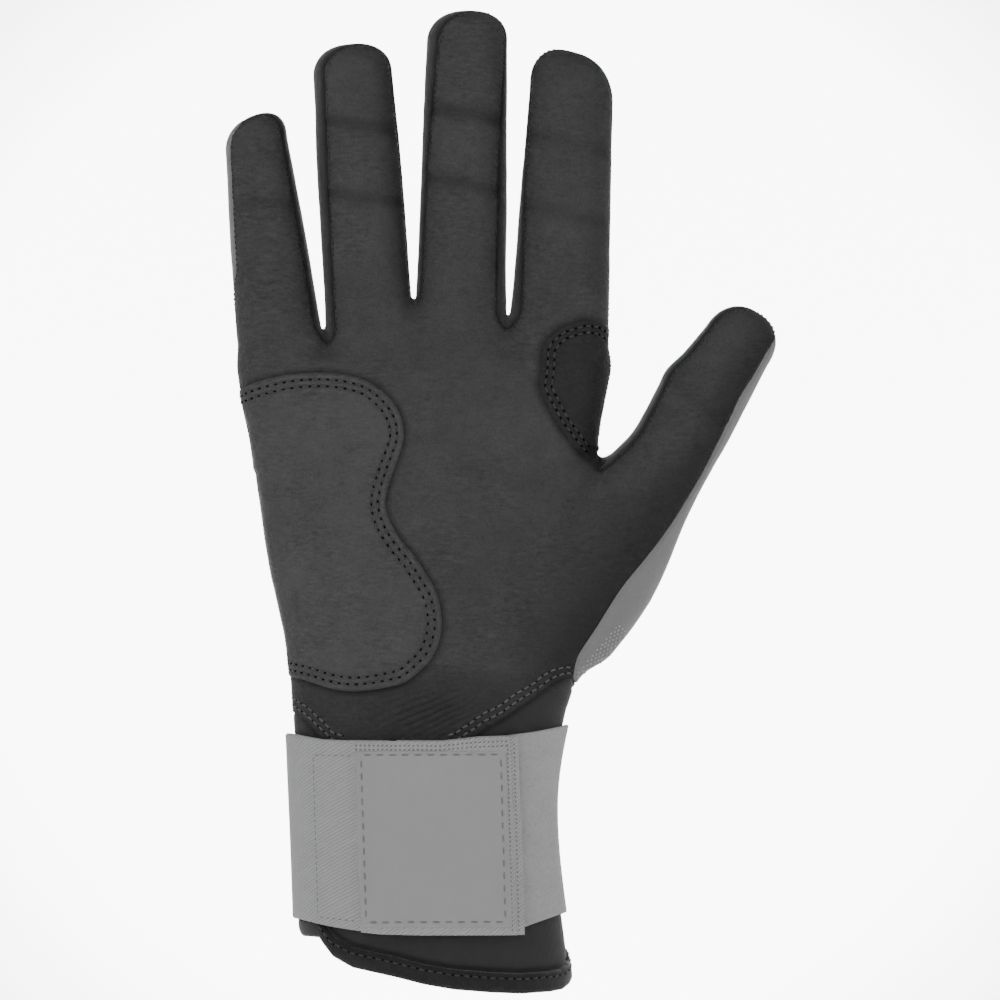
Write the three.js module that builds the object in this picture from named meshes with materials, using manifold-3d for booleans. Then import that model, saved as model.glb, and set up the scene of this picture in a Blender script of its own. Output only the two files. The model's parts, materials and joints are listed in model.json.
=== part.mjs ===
// Batting glove for the right hand, standing on its wrist opening with the fingers up.
// Frame: millimetres, +Z towards the fingertips, +X to the thumb, the palm faces -Y.
// The origin is the middle of the wrist opening, level with its lowest edge.

import * as THREE from 'three';
import { mergeVertices } from 'three/addons/utils/BufferGeometryUtils.js';
import Module from 'manifold-3d';

const wasm = await Module();
wasm.setup();

// General sizes
const gap = 0.3; // between pieces that are sewn or laid together
const leather = 1.2; // thickness of palm, back and finger panels
const neoprene = 1.8; // thickness of the cuff
const overrun = 60; // how far a cutting solid reaches past what it cuts
const roundness = 2.3; // superellipse exponent of every cross-section
const weld = 0.002; // corners closer than this are one

// Hand, from the wrist opening to the roots of the fingers. Each station has a width, a depth
// and an offset towards the thumb.
const handLength = 184.1; // wrist opening to the root of the middle finger
const hemWidth = 72;
const hemDepth = 37;
const hemOffset = 1.8;
const wristWidth = 69;
const wristDepth = 34;
const wristOffset = -1.4;
const wristShare = 0.62; // the narrowest place, as a share of the strap's height
const heelWidth = 78.5;
const heelDepth = 32;
const heelOffset = 0.9;
const heelShare = 0.483; // of the hand's length, as are the next two
const palmWidth = 86;
const palmDepth = 30;
const palmOffset = -0.3;
const palmShare = 0.617;
const archWidth = 92;
const archDepth = 27;
const archOffset = -1.5;
const archShare = 0.769;
const knuckleWidth = 100;
const knuckleDepth = 21.5;
const knuckleOffset = -1.6;
const knuckleDrop = 15.7; // from the root of the middle finger
const seamPlane = 2; // front and back of the hand meet here, behind the middle plane

// Wrist closure
const strapHeight = 50.8; // two-inch elastic
const strapBottom = 17;
const loopFabric = 0.8;
const hookFabric = 0.8;
const tabThickness = 1.0;
const elasticThickness = 1.6;
const bandThickness = 1.2; // the strap's part round the back
const tabLength = 41;
const tabStart = -19.2; // where the tab leaves the elastic
const tabLean = 1.9; // the tab's lower end lies further to the thumb side
const tabDrop = 1.2; // the tab reaches below the elastic
const elasticTuck = 9; // elastic under the tab
const edgeTape = 2.2;
const hookLength = 25;
const tuckClearance = 2;

// Cuff and hem
const hemHeight = 5.4;
const hemProud = 0.6;
const slitRise = 11.2; // the hem climbs this far towards the slit on the little finger's side
const thumbRise = 3; // and at the back it lies this high on the thumb's side
const cuffLeftRise = 8.7; // seam between cuff and palm, above the strap at the little finger's side
const cuffMiddleDrop = 1.8; // the same seam, below the strap's upper edge
const cuffRightRise = 12.7; // the same seam, above the strap at the thumb's side
const cuffBackRise = 6.7; // the seam at the back, above the strap
const palmPointLeft = -23; // the palm leather comes down between these two places
const palmPointRight = 12;

// Heel pad and web patch
const foam = 1.0;
const cover = 0.7;
const padWidth = 52.6;
const padTall = 84.4;
const padRight = 3.2;
const padRise = 11.2; // above the strap
const padSide = 5.5; // its edge stays this far in front of the middle plane
const padHem = 5; // sewn margin round the foam
const patchWidth = 19.2;
const patchTall = 32;
const patchThickness = 0.8;

// Fingers: how far each root lies below the middle finger's, length from there, widths and depths
// at root, joint and tip, and the length of the rounded end
const pinkyDrop = 9.2;
const pinkyLength = 58;
const pinkyRootWidth = 22.8;
const pinkyJointWidth = 20.4;
const pinkyTipWidth = 16.8;
const pinkyRootDepth = 18;
const pinkyJointDepth = 16.6;
const pinkyTipDepth = 14;
const pinkyDome = 8.6;
const ringDrop = 0.3;
const ringLength = 67.8;
const ringRootWidth = 23.4;
const ringJointWidth = 23;
const ringTipWidth = 21.2;
const ringDome = 10.6;
const middleLength = 76;
const middleRootWidth = 24.2;
const middleJointWidth = 23.2;
const middleTipWidth = 21.6;
const indexDrop = 4.6;
const indexLength = 70;
const indexRootWidth = 26.4;
const indexJointWidth = 24.6;
const indexTipWidth = 22.4;
const fingerRootDepth = 19.8; // of ring, middle and index finger, as are the next three
const fingerJointDepth = 18.8;
const fingerTipDepth = 15.8;
const fingerDome = 11;
const pinkyTilt = -6.5; // degrees towards the thumb
const ringTilt = -3.6;
const middleTilt = 1.4;
const indexTilt = 2.8;
const middleRootSide = 8.4; // place of the middle finger across the hand
const rootGap = 1.4; // between two finger roots of like height
const stepGap = 0.9; // between two finger roots of unlike height
const middleJointShare = 0.43;
const curve = 6.5; // the tips come forward of the knuckles
const sideBand = 11.5; // depth of the strips between a finger's front and back
const tipWrap = 8.5; // the front panel folds over the last of the finger
const stub = 34; // finger roots reach this far into the hand
const flare = 2.4; // a finger root widens by this towards its neighbour
const flareRun = 3.2; // over this length
const crotchWidth = 3.4;
const crotchDrop = 7;

// Thumb, and the ball of the thumb below its root
const thumbTilt = 33;
const thumbLength = 54;
const thumbRootWidth = 27.6;
const thumbJointWidth = 23.4;
const thumbTipWidth = 19.6;
const thumbRootDepth = 22;
const thumbJointDepth = 19;
const thumbTipDepth = 15.6;
const thumbDome = 10.5;
const thumbDrop = 49.8; // its root, below the root of the middle finger
const thumbReach = 50.3; // and beside it
const thumbForward = 2;
const thumbJointShare = 0.46;
const moundWidth = 36;
const moundDepth = 28;
const moundDrop = 27;
const moundEndWidth = 31;
const moundEndDepth = 24;
const moundEndDrop = 58;
const webReach = 7; // half the length of the gusset across the web
const webDrop = 14;
const webRise = 3;

// Mesh fineness
const handSides = 32;
const handRings = 13;
const limbSides = 18;
const domeSteps = 4;
const domeAngle = 76;

// Materials
const look = (color, roughness) => new THREE.MeshStandardMaterial({ color, roughness, metalness: 0 });
const looks = {
  leather: () => look(0x424244, 0.62),
  pad: () => look(0x4b4b4d, 0.6),
  side: () => look(0x2c2c2e, 0.8),
  back: () => look(0x8a8b8d, 0.7),
  cuff: () => look(0x38383a, 0.85),
  hem: () => look(0x28282a, 0.8),
  elastic: () => look(0x98999b, 0.9),
  loop: () => look(0x9b9b9d, 0.95),
  tab: () => look(0x949597, 0.6),
  hook: () => look(0x303032, 0.7),
  foam: () => look(0xd8d5cc, 0.95),
};

const radians = THREE.MathUtils.degToRad;

const knuckleHeight = handLength - knuckleDrop;
const strapTop = strapBottom + strapHeight;
const fingers = [
  {
    name: 'pinky', height: handLength - pinkyDrop, tilt: pinkyTilt, length: pinkyLength, dome: pinkyDome,
    rootWidth: pinkyRootWidth, jointWidth: pinkyJointWidth, tipWidth: pinkyTipWidth,
    rootDepth: pinkyRootDepth, jointDepth: pinkyJointDepth, tipDepth: pinkyTipDepth,
    ulnar: 'back', radial: 'strip',
  },
  {
    name: 'ring', height: handLength - ringDrop, tilt: ringTilt, length: ringLength, dome: ringDome,
    rootWidth: ringRootWidth, jointWidth: ringJointWidth, tipWidth: ringTipWidth,
    rootDepth: fingerRootDepth, jointDepth: fingerJointDepth, tipDepth: fingerTipDepth,
    ulnar: 'strip', radial: 'strip',
  },
  {
    name: 'middle', height: handLength, tilt: middleTilt, length: middleLength, dome: fingerDome,
    rootWidth: middleRootWidth, jointWidth: middleJointWidth, tipWidth: middleTipWidth,
    rootDepth: fingerRootDepth, jointDepth: fingerJointDepth, tipDepth: fingerTipDepth,
    ulnar: 'strip', radial: 'strip',
  },
  {
    name: 'index', height: handLength - indexDrop, tilt: indexTilt, length: indexLength, dome: fingerDome,
    rootWidth: indexRootWidth, jointWidth: indexJointWidth, tipWidth: indexTipWidth,
    rootDepth: fingerRootDepth, jointDepth: fingerJointDepth, tipDepth: fingerTipDepth,
    ulnar: 'strip', radial: 'front',
  },
];
const thumb = {
  name: 'thumb', height: handLength - thumbDrop, tilt: thumbTilt, length: thumbLength, dome: thumbDome,
  rootWidth: thumbRootWidth, jointWidth: thumbJointWidth, tipWidth: thumbTipWidth,
  rootDepth: thumbRootDepth, jointDepth: thumbJointDepth, tipDepth: thumbTipDepth,
  ulnar: 'strip', radial: 'back',
};
const thumbRootSide = middleRootSide + thumbReach;

// A solid from a closed geometry, and back again
function toSolid(geometry) {
  geometry.deleteAttribute('normal');
  geometry.deleteAttribute('uv');
  const merged = mergeVertices(geometry);
  const vertProperties = new Float32Array(merged.attributes.position.array);
  const triVerts = new Uint32Array(merged.index.array);
  return new wasm.Manifold(new wasm.Mesh({ numProp: 3, vertProperties, triVerts }));
}

function toGeometry(solid) {
  const mesh = solid.getMesh();
  const geometry = new THREE.BufferGeometry();
  geometry.setAttribute('position', new THREE.Float32BufferAttribute(mesh.vertProperties, mesh.numProp));
  geometry.setIndex(new THREE.BufferAttribute(new Uint32Array(mesh.triVerts), 1));
  const welded = mergeVertices(geometry, weld);
  const faces = [];
  for (let i = 0; i < welded.index.count; i += 3) {
    const face = [0, 1, 2].map((corner) => welded.index.getX(i + corner));
    if (new Set(face).size === 3) faces.push(...face);
  }
  welded.setIndex(faces);
  welded.computeVertexNormals();
  return welded;
}

const unite = (solids) => solids.reduce((all, solid) => all.add(solid));

// One size at a height, on a smooth line through the stations
function sizeAt(stations, height, key) {
  const last = stations.length - 1;
  const found = stations.findIndex((station, n) => n < last && height < stations[n + 1].height);
  const n = found < 0 ? last - 1 : found;
  const slope = (i) => {
    const low = stations[Math.max(i - 1, 0)];
    const high = stations[Math.min(i + 1, last)];
    return (high[key] - low[key]) / (high.height - low.height);
  };
  const low = stations[n];
  const high = stations[n + 1];
  const span = high.height - low.height;
  const t = THREE.MathUtils.clamp((height - low.height) / span, 0, 1);
  const rise = t * t * (3 - 2 * t);
  const easeIn = t * (1 - t) * (1 - t) * span * slope(n);
  const easeOut = t * t * (t - 1) * span * slope(n + 1);
  return low[key] + (high[key] - low[key]) * rise + easeIn + easeOut;
}

// A cross-section: a superellipse round (side, forward) at a height
function section(sides, { width, depth, side = 0, forward = 0, height }) {
  const power = 2 / roundness;
  return Array.from({ length: sides }, (_, i) => {
    const angle = (2 * Math.PI * (i + 0.5)) / sides;
    const x = Math.sign(Math.cos(angle)) * Math.abs(Math.cos(angle)) ** power;
    const y = Math.sign(Math.sin(angle)) * Math.abs(Math.sin(angle)) ** power;
    return new THREE.Vector3(side + (x * width) / 2, y * depth / 2 - forward, height);
  });
}

// A closed body through cross-sections that are listed from the lowest to the highest
function loft(rings) {
  const sides = rings[0].length;
  const points = rings.flat();
  const middle = (ring) => ring.reduce((sum, p) => sum.add(p), new THREE.Vector3()).divideScalar(sides);
  points.push(middle(rings[0]), middle(rings.at(-1)));
  const bottom = points.length - 2;
  const top = points.length - 1;
  const highest = (rings.length - 1) * sides;
  const faces = [];
  for (let j = 0; j < sides; j += 1) {
    const next = (j + 1) % sides;
    faces.push(bottom, next, j, top, highest + j, highest + next);
    for (let i = 0; i < rings.length - 1; i += 1) {
      const low = i * sides;
      const high = low + sides;
      faces.push(low + j, low + next, high + next, low + j, high + next, high + j);
    }
  }
  const geometry = new THREE.BufferGeometry().setFromPoints(points);
  geometry.setIndex(faces);
  return toSolid(geometry);
}

// A block between two corners
function block(x0, x1, y0, y1, z0, z1) {
  const box = new THREE.BoxGeometry(x1 - x0, y1 - y0, z1 - z0);
  box.translate((x0 + x1) / 2, (y0 + y1) / 2, (z0 + z1) / 2);
  return toSolid(box);
}

// A front-to-back prism on an outline of [side, height] points, between two depths
function prism(outline, y0, y1) {
  const shape = new THREE.Shape(outline.map(([x, z]) => new THREE.Vector2(x, z)));
  const body = new THREE.ExtrudeGeometry(shape, { depth: y1 - y0, bevelEnabled: false });
  body.rotateX(Math.PI / 2);
  body.translate(0, y1, 0);
  return toSolid(body);
}

// Places of the finger roots, from the widths and gaps beside the middle finger
function placeFingers() {
  const sides = fingers.map(() => middleRootSide);
  const pitch = (a, b) => {
    const level = Math.abs(a.height - b.height) < a.rootDepth / 4;
    return (a.rootWidth + b.rootWidth) / 2 + (level ? rootGap : stepGap);
  };
  const middle = fingers.findIndex((finger) => finger.name === 'middle');
  for (let i = middle - 1; i >= 0; i -= 1) sides[i] = sides[i + 1] - pitch(fingers[i], fingers[i + 1]);
  for (let i = middle + 1; i < fingers.length; i += 1) sides[i] = sides[i - 1] + pitch(fingers[i - 1], fingers[i]);
  return sides;
}

const rootSides = placeFingers();
const wristHeight = strapBottom + strapHeight * wristShare;
const handStations = [
  { height: -gap, width: hemWidth, depth: hemDepth, side: hemOffset },
  { height: wristHeight, width: wristWidth, depth: wristDepth, side: wristOffset },
  { height: handLength * heelShare, width: heelWidth, depth: heelDepth, side: heelOffset },
  { height: handLength * palmShare, width: palmWidth, depth: palmDepth, side: palmOffset },
  { height: handLength * archShare, width: archWidth, depth: archDepth, side: archOffset },
  { height: knuckleHeight, width: knuckleWidth, depth: knuckleDepth, side: knuckleOffset },
];

// The hand without fingers and thumb, grown on every side by an offset
function handTrunk(offset, below) {
  const rings = [];
  for (let i = 0; i < handRings; i += 1) {
    const height = (knuckleHeight * i) / (handRings - 1);
    const at = (key) => sizeAt(handStations, height, key);
    const size = { width: at('width') + 2 * offset, depth: at('depth') + 2 * offset, side: at('side') };
    if (i === 0) rings.push(section(handSides, { ...size, height: -below }));
    const top = i === handRings - 1 ? offset : 0;
    rings.push(section(handSides, { ...size, height: height + top }));
  }
  return loft(rings);
}

// A finger's root inside the hand, flared towards the neighbours once it is below their roots
function fingerRoot(index, offset, above) {
  const finger = fingers[index];
  const half = finger.rootWidth / 2 + offset;
  const start = (neighbour) => (neighbour ? Math.max(finger.height - neighbour.height, 0) : stub);
  const starts = [start(fingers[index - 1]), start(fingers[index + 1])];
  const reach = (begin, down) => half + flare * THREE.MathUtils.clamp((down - begin) / flareRun, 0, 1);
  const bottom = stub + offset;
  const downs = [...new Set([-above, ...starts, ...starts.map((s) => s + flareRun), bottom])];
  const rings = downs.filter((down) => down <= bottom).sort((a, b) => b - a).map((down) => {
    const [left, right] = starts.map((begin) => reach(begin, down));
    const depth = finger.rootDepth + 2 * offset;
    return section(limbSides, { width: left + right, depth, side: (right - left) / 2, height: -down });
  });
  return loft(rings)
    .rotate([0, finger.tilt, 0])
    .translate([rootSides[index], 0, finger.height]);
}

// The ball of the thumb, along the thumb's own line
function thumbRoot(offset, above) {
  const ring = ({ width, depth, drop }) => section(limbSides, {
    width: width + 2 * offset, depth: depth + 2 * offset, height: -drop,
  });
  const end = { width: moundEndWidth, depth: moundEndDepth, drop: moundEndDrop + offset };
  const mound = { width: moundWidth, depth: moundDepth, drop: moundDrop };
  const root = { width: thumbRootWidth, depth: thumbRootDepth, drop: -above };
  return loft([ring(end), ring(mound), ring(root)])
    .rotate([0, thumb.tilt, 0])
    .translate([thumbRootSide, -thumbForward, thumb.height]);
}

function handBody(offset, opened) {
  const roots = fingers.map((_, i) => fingerRoot(i, offset, opened ? flareRun : -gap / 2));
  const parts = [handTrunk(offset, opened ? overrun : 0), ...roots, thumbRoot(offset, -gap / 2)];
  if (opened) parts.push(thumbRoot(offset, flareRun).subtract(handTrunk(0, 0)));
  return unite(parts);
}

// A finger or thumb stall with a domed end, its root at zero height
function stall(limb, joint, inset) {
  const stations = [
    { height: 0, width: limb.rootWidth, depth: limb.rootDepth },
    { height: joint, width: limb.jointWidth, depth: limb.jointDepth },
    { height: limb.length - limb.dome, width: limb.tipWidth, depth: limb.tipDepth },
  ];
  const shoulder = limb.length - limb.dome;
  const heights = [0, joint / 2, joint, (joint + shoulder) / 2];
  const size = (height, scale, place) => section(limbSides, {
    width: scale * (sizeAt(stations, height, 'width') - 2 * inset),
    depth: scale * (sizeAt(stations, height, 'depth') - 2 * inset),
    height: place,
  });
  const rings = heights.map((height) => size(height, 1, height));
  if (inset > 0) rings.unshift(size(0, 1, -gap));
  for (let i = 0; i <= domeSteps; i += 1) {
    const angle = radians((domeAngle * i) / domeSteps);
    const rise = (limb.dome - inset) * Math.sin(angle) / Math.sin(radians(domeAngle));
    rings.push(size(shoulder, Math.cos(angle) ** (2 / roundness), shoulder + rise));
  }
  return loft(rings);
}

// How far forward of the root a place on a finger lies
const longest = Math.max(...fingers.map((finger) => finger.length));
const forwardAt = (height) => curve * (Math.max(height, 0) / longest) ** 2;

function bendForward(geometry) {
  const places = geometry.attributes.position;
  for (let i = 0; i < places.count; i += 1) {
    places.setY(i, places.getY(i) - forwardAt(places.getZ(i)));
  }
  return geometry;
}

// The panels of a finger or thumb: front, back and the strips between them, cut at its joint
function stallPanels(limb, jointShare) {
  const joint = limb.length * jointShare;
  const shell = stall(limb, joint, 0).subtract(stall(limb, joint, leather));
  const front = -sideBand / 2;
  const back = sideBand / 2;
  const crown = limb.length - tipWrap;
  const far = overrun;
  const pieces = [];
  const segments = [
    { part: 'proximal', from: gap / 2, to: joint - gap / 2, end: joint - gap / 2 },
    { part: 'distal', from: joint + gap / 2, to: crown, end: far + limb.length },
  ];
  for (const { part, from, to, end } of segments) {
    const top = end > to ? to - gap : to;
    const halves = {
      ulnar: [-far, 0],
      radial: [0, far],
    };
    const panels = {
      front: [block(-far, far, -far, front - gap / 2, from, end)],
      back: [block(-far, far, back + gap / 2, far, from, end)],
    };
    if (end > to) panels.front.push(block(-far, far, front - gap, back - gap / 2, to, end));
    for (const [side, [x0, x1]] of Object.entries(halves)) {
      if (limb[side] === 'strip') {
        panels[side] = [block(x0, x1, front + gap / 2, back - gap / 2, from, top)];
      } else if (limb[side] === 'front') {
        panels.front.push(block(x0, x1, front - gap, back - gap / 2, from, end));
      } else {
        panels.back.push(block(x0, x1, front + gap / 2, back + gap, from, top));
      }
    }
    for (const [side, blocks] of Object.entries(panels)) {
      pieces.push({ part, side, solid: shell.intersect(unite(blocks)) });
    }
  }
  return { joint, pieces };
}

const glove = new THREE.Group();
const panelNames = { front: 'front', back: 'back', ulnar: 'ulnar_side', radial: 'radial_side' };
const panelLooks = { front: looks.leather, back: looks.back, ulnar: looks.side, radial: looks.side };

function addPiece(parent, name, geometry, material) {
  const mesh = new THREE.Mesh(geometry, material);
  mesh.name = name;
  parent.add(mesh);
}

// A finger or thumb on its two hinges
function addStall(limb, jointShare, side, forward, height) {
  const root = new THREE.Group();
  root.position.set(side, -forward, height);
  root.rotation.y = radians(limb.tilt);
  const { joint, pieces } = stallPanels(limb, jointShare);
  const middle = new THREE.Group();
  middle.position.set(0, 0, joint);
  root.add(middle);
  for (const { part, side: panel, solid } of pieces) {
    const geometry = bendForward(toGeometry(solid));
    if (part === 'distal') geometry.translate(0, 0, -joint);
    const parent = part === 'distal' ? middle : root;
    addPiece(parent, `${limb.name}_${part}_${panelNames[panel]}`, geometry, panelLooks[panel]());
  }
  glove.add(root);
}

// Outlines seen from the palm side, as [side, height]
const scaled = (shares, left, bottom, width, tall) => shares.map(([u, v]) => [left + u * width, bottom + v * tall]);
const drawnIn = (outline, margin) => {
  const box = new THREE.Box2().setFromPoints(outline.map(([x, z]) => new THREE.Vector2(x, z)));
  const centre = box.getCenter(new THREE.Vector2());
  const size = box.getSize(new THREE.Vector2());
  const scale = new THREE.Vector2(1 - (2 * margin) / size.x, 1 - (2 * margin) / size.y);
  return outline.map(([x, z]) => [centre.x + (x - centre.x) * scale.x, centre.y + (z - centre.y) * scale.y]);
};

const padShares = [
  [-0.1, 0.044], [0.246, 0.044], [0.405, 0.012], [0.6, 0], [0.805, 0.025], [0.949, 0.103], [1, 0.204],
  [0.969, 0.313], [0.867, 0.417], [0.749, 0.514], [0.713, 0.599], [0.754, 0.693], [0.805, 0.787],
  [0.769, 0.887], [0.626, 0.969], [0.374, 1], [0.174, 0.987], [-0.1, 0.945],
];
const patchShares = [
  [1.6, 0], [1.6, 0.93], [1, 0.955], [0.648, 1], [0.282, 0.945], [0.042, 0.813], [0, 0.64],
  [0.014, 0.467], [0.239, 0.26], [0.563, 0.059], [0.803, 0],
];
const hemShares = [
  [-0.445, 1], [-0.385, 0.77], [-0.31, 0.56], [-0.15, 0.36], [0.06, 0.1], [0.2, 0.02], [0.31, 0],
  [0.42, 0.01], [0.5, 0.08], [0.6, 0.2],
];

const padOutline = scaled(padShares, padRight - padWidth, strapTop + padRise, padWidth, padTall);
const indexRoot = fingers.at(-1);
const patchOutline = scaled(
  patchShares,
  rootSides.at(-1) + indexRoot.rootWidth / 2 - patchWidth,
  indexRoot.height - 2 * patchThickness - patchTall,
  patchWidth,
  patchTall,
);
const hemLine = scaled(hemShares, hemOffset, 0, hemWidth, slitRise);

// The whole hand shell, then its panels
const handShell = handBody(0, false).subtract(handBody(-leather, true));
const far = overrun + knuckleWidth;
const high = knuckleHeight + overrun;
const frontLimit = seamPlane - gap / 2;
const backLimit = seamPlane + gap / 2;

const crotches = fingers.slice(1).map((finger, i) => {
  const other = fingers[i];
  const side = (rootSides[i] + other.rootWidth / 2 + rootSides[i + 1] - finger.rootWidth / 2) / 2;
  const height = Math.min(finger.height, other.height) - crotchDrop;
  return { name: `crotch_${other.name}_${finger.name}`, side, height };
});
const crotchBlock = ({ side, height }, ease) => block(
  side - crotchWidth / 2 - ease,
  side + crotchWidth / 2 + ease,
  -far,
  far,
  height - ease,
  height + crotchDrop + ease,
);
const webSide = thumbRootSide - (thumb.rootWidth / 2) * Math.cos(radians(thumb.tilt));
const webHeight = thumb.height + (thumb.rootWidth / 2) * Math.sin(radians(thumb.tilt));
const webBlock = (ease) => block(
  webSide - webReach - ease,
  webSide + webReach + ease,
  -thumbForward - sideBand / 2 - ease,
  -thumbForward + sideBand / 2 + ease,
  webHeight - webDrop - ease,
  webHeight + webRise + ease,
);

const cuffLeft = strapTop + cuffLeftRise;
const cuffMiddle = strapTop - cuffMiddleDrop;
const cuffRight = strapTop + cuffRightRise;
const cuffBack = strapTop + cuffBackRise;
const palmLine = [
  [-far, high], [-far, cuffLeft], [-hemWidth / 2, cuffLeft], [palmPointLeft, cuffMiddle],
  [palmPointRight, cuffMiddle], [hemWidth / 2, cuffRight], [far, cuffRight], [far, high],
];
const openings = unite([...crotches.map((crotch) => crotchBlock(crotch, gap)), webBlock(gap)]);
const bare = handShell.subtract(openings);

addPiece(glove, 'palm_leather', toGeometry(bare.intersect(prism(palmLine, -far, frontLimit))), looks.leather());
addPiece(
  glove,
  'hand_back',
  toGeometry(bare.intersect(block(-far, far, backLimit, far, cuffBack + gap, high))),
  looks.back(),
);
for (const crotch of crotches) {
  addPiece(glove, crotch.name, toGeometry(handShell.intersect(crotchBlock(crotch, 0))), looks.side());
}
addPiece(glove, 'thumb_web_gusset', toGeometry(handShell.intersect(webBlock(0))), looks.side());

// Cuff and hem
const cuffShell = handTrunk(0, 0).subtract(handTrunk(-neoprene, overrun));
const hemShell = handTrunk(hemProud, 0).subtract(handTrunk(-neoprene, overrun));
const above = hemLine.map(([x, z]) => [x, z + hemHeight]);
const cuffTop = palmLine.slice(1, -1).reverse().map(([x, z]) => [x, z - gap]);
const cuffFront = [[-far, slitRise + hemHeight + gap], ...above.map(([x, z]) => [x, z + gap]), ...cuffTop];
addPiece(glove, 'cuff_front', toGeometry(cuffShell.intersect(prism(cuffFront, -far, frontLimit))), looks.cuff());
const hemFront = [...hemLine, ...above.slice().reverse()];
addPiece(glove, 'hem_front', toGeometry(hemShell.intersect(prism(hemFront, -far, frontLimit))), looks.hem());
const backRise = (x) => THREE.MathUtils.mapLinear(x, -hemWidth / 2, hemWidth / 2, slitRise, thumbRise);
const backLine = [-hemWidth, hemWidth].map((x) => [x, backRise(x)]);
const cuffBackOutline = [
  ...backLine.map(([x, z]) => [x, z + hemHeight + gap]), [hemWidth, cuffBack], [-hemWidth, cuffBack],
];
addPiece(glove, 'cuff_back', toGeometry(cuffShell.intersect(prism(cuffBackOutline, backLimit, far))), looks.cuff());
const hemBack = [...backLine, ...backLine.map(([x, z]) => [x, z + hemHeight]).reverse()];
addPiece(glove, 'hem_back', toGeometry(hemShell.intersect(prism(hemBack, backLimit, far))), looks.hem());

// Heel pad: foam under a sewn cover, and the patch over the web of the thumb
const layer = (from, to) => handBody(to, false).subtract(handBody(from, false));
const foamTop = gap + foam;
const coverTop = foamTop + gap + cover;
const padBack = -padSide;
const padPrism = prism(padOutline, -far, padBack);
const foamPrism = prism(drawnIn(padOutline, padHem), -far, padBack - padHem);
const hollowPrism = prism(drawnIn(padOutline, padHem - gap), -far, padBack - padHem + gap);
addPiece(glove, 'heel_pad_foam', toGeometry(layer(gap, foamTop).intersect(foamPrism)), looks.foam());
const padLayer = layer(gap, coverTop).intersect(padPrism);
const padHollow = handBody(foamTop + gap, false).intersect(hollowPrism);
addPiece(glove, 'heel_pad_cover', toGeometry(padLayer.subtract(padHollow)), looks.pad());
const patchPrism = prism(patchOutline, -far, frontLimit).subtract(webBlock(gap));
addPiece(
  glove,
  'web_patch',
  toGeometry(layer(gap, gap + patchThickness).intersect(patchPrism)),
  looks.leather(),
);

// Wrist strap: loop panel and back band on the cuff, then the elastic and the tab that swing open
const wrap = (from, to) => handTrunk(to, 0).subtract(handTrunk(from, 0));
const loopTop = gap + loopFabric;
const hookBase = loopTop + gap;
const hookTop = hookBase + hookFabric;
const tabBase = hookTop + gap;
const tabTop = tabBase + tabThickness;
const elasticBase = hookTop - elasticThickness;
const elasticEnd = tabStart + elasticTuck;
const bandBlock = (x0, x1, y0, y1) => block(x0, x1, y0, y1, strapBottom, strapTop);

addPiece(
  glove,
  'strap_loop_panel',
  toGeometry(wrap(gap, loopTop).intersect(bandBlock(elasticEnd + tuckClearance, far, -far, -gap / 2))),
  looks.loop(),
);
addPiece(
  glove,
  'strap_back_band',
  toGeometry(wrap(gap, gap + bandThickness).intersect(bandBlock(-far, far, gap / 2, far))),
  looks.elastic(),
);

const leftEdge = (height) => sizeAt(handStations, height, 'side') - sizeAt(handStations, height, 'width') / 2;
const hingeSide = Math.min(leftEdge(strapBottom), leftEdge(strapTop)) - hookTop;
const frontEdge = (height) => {
  const half = sizeAt(handStations, height, 'width') / 2 + tabTop;
  const share = Math.abs(tabStart - sizeAt(handStations, height, 'side')) / half;
  const depth = sizeAt(handStations, height, 'depth') / 2 + tabTop;
  return depth * (1 - share ** roundness) ** (1 / roundness);
};
const tabFront = Math.max(frontEdge(strapBottom), frontEdge(strapTop));

const strap = new THREE.Group();
strap.position.set(hingeSide, 0, strapBottom);
const elastic = toGeometry(
  wrap(elasticBase, hookTop).intersect(bandBlock(-far, elasticEnd, -far, -gap / 2)),
);
elastic.translate(-hingeSide, 0, -strapBottom);
addPiece(strap, 'strap_elastic', elastic, looks.elastic());

const tabBottom = strapBottom - tabDrop;
const leaning = (x0, x1, z0 = tabBottom, z1 = strapTop) => {
  const slope = tabLean / (strapTop - tabBottom);
  const at = (x, z) => [x + (strapTop - z) * slope, z];
  return prism([at(x0, z0), at(x1, z0), at(x1, z1), at(x0, z1)], -far, -gap / 2);
};
const tabEnd = tabStart + tabLength;
const tab = new THREE.Group();
tab.position.set(tabStart - hingeSide, -tabFront, 0);
const tabPieces = [
  { name: 'strap_tab', solid: wrap(tabBase, tabTop).intersect(leaning(tabStart, tabEnd)), skin: looks.tab },
  {
    name: 'tab_edge_tape',
    solid: wrap(hookBase, tabTop).intersect(leaning(tabEnd + gap, tabEnd + gap + edgeTape)),
    skin: looks.hook,
  },
  {
    name: 'hook_pad',
    solid: wrap(hookBase, hookTop).intersect(
      leaning(tabEnd - gap - hookLength, tabEnd - gap, strapBottom + edgeTape, strapTop - edgeTape),
    ),
    skin: looks.hook,
  },
];
for (const { name, solid, skin } of tabPieces) {
  const geometry = toGeometry(solid);
  geometry.translate(-tabStart, tabFront, -strapBottom);
  addPiece(tab, name, geometry, skin());
}
strap.add(tab);
glove.add(strap);

// Fingers and thumb
fingers.forEach((finger, i) => addStall(finger, middleJointShare, rootSides[i], 0, finger.height));
addStall(thumb, thumbJointShare, thumbRootSide, thumbForward, thumb.height);

export default glove;
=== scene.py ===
import json
import math
from functools import lru_cache

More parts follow.
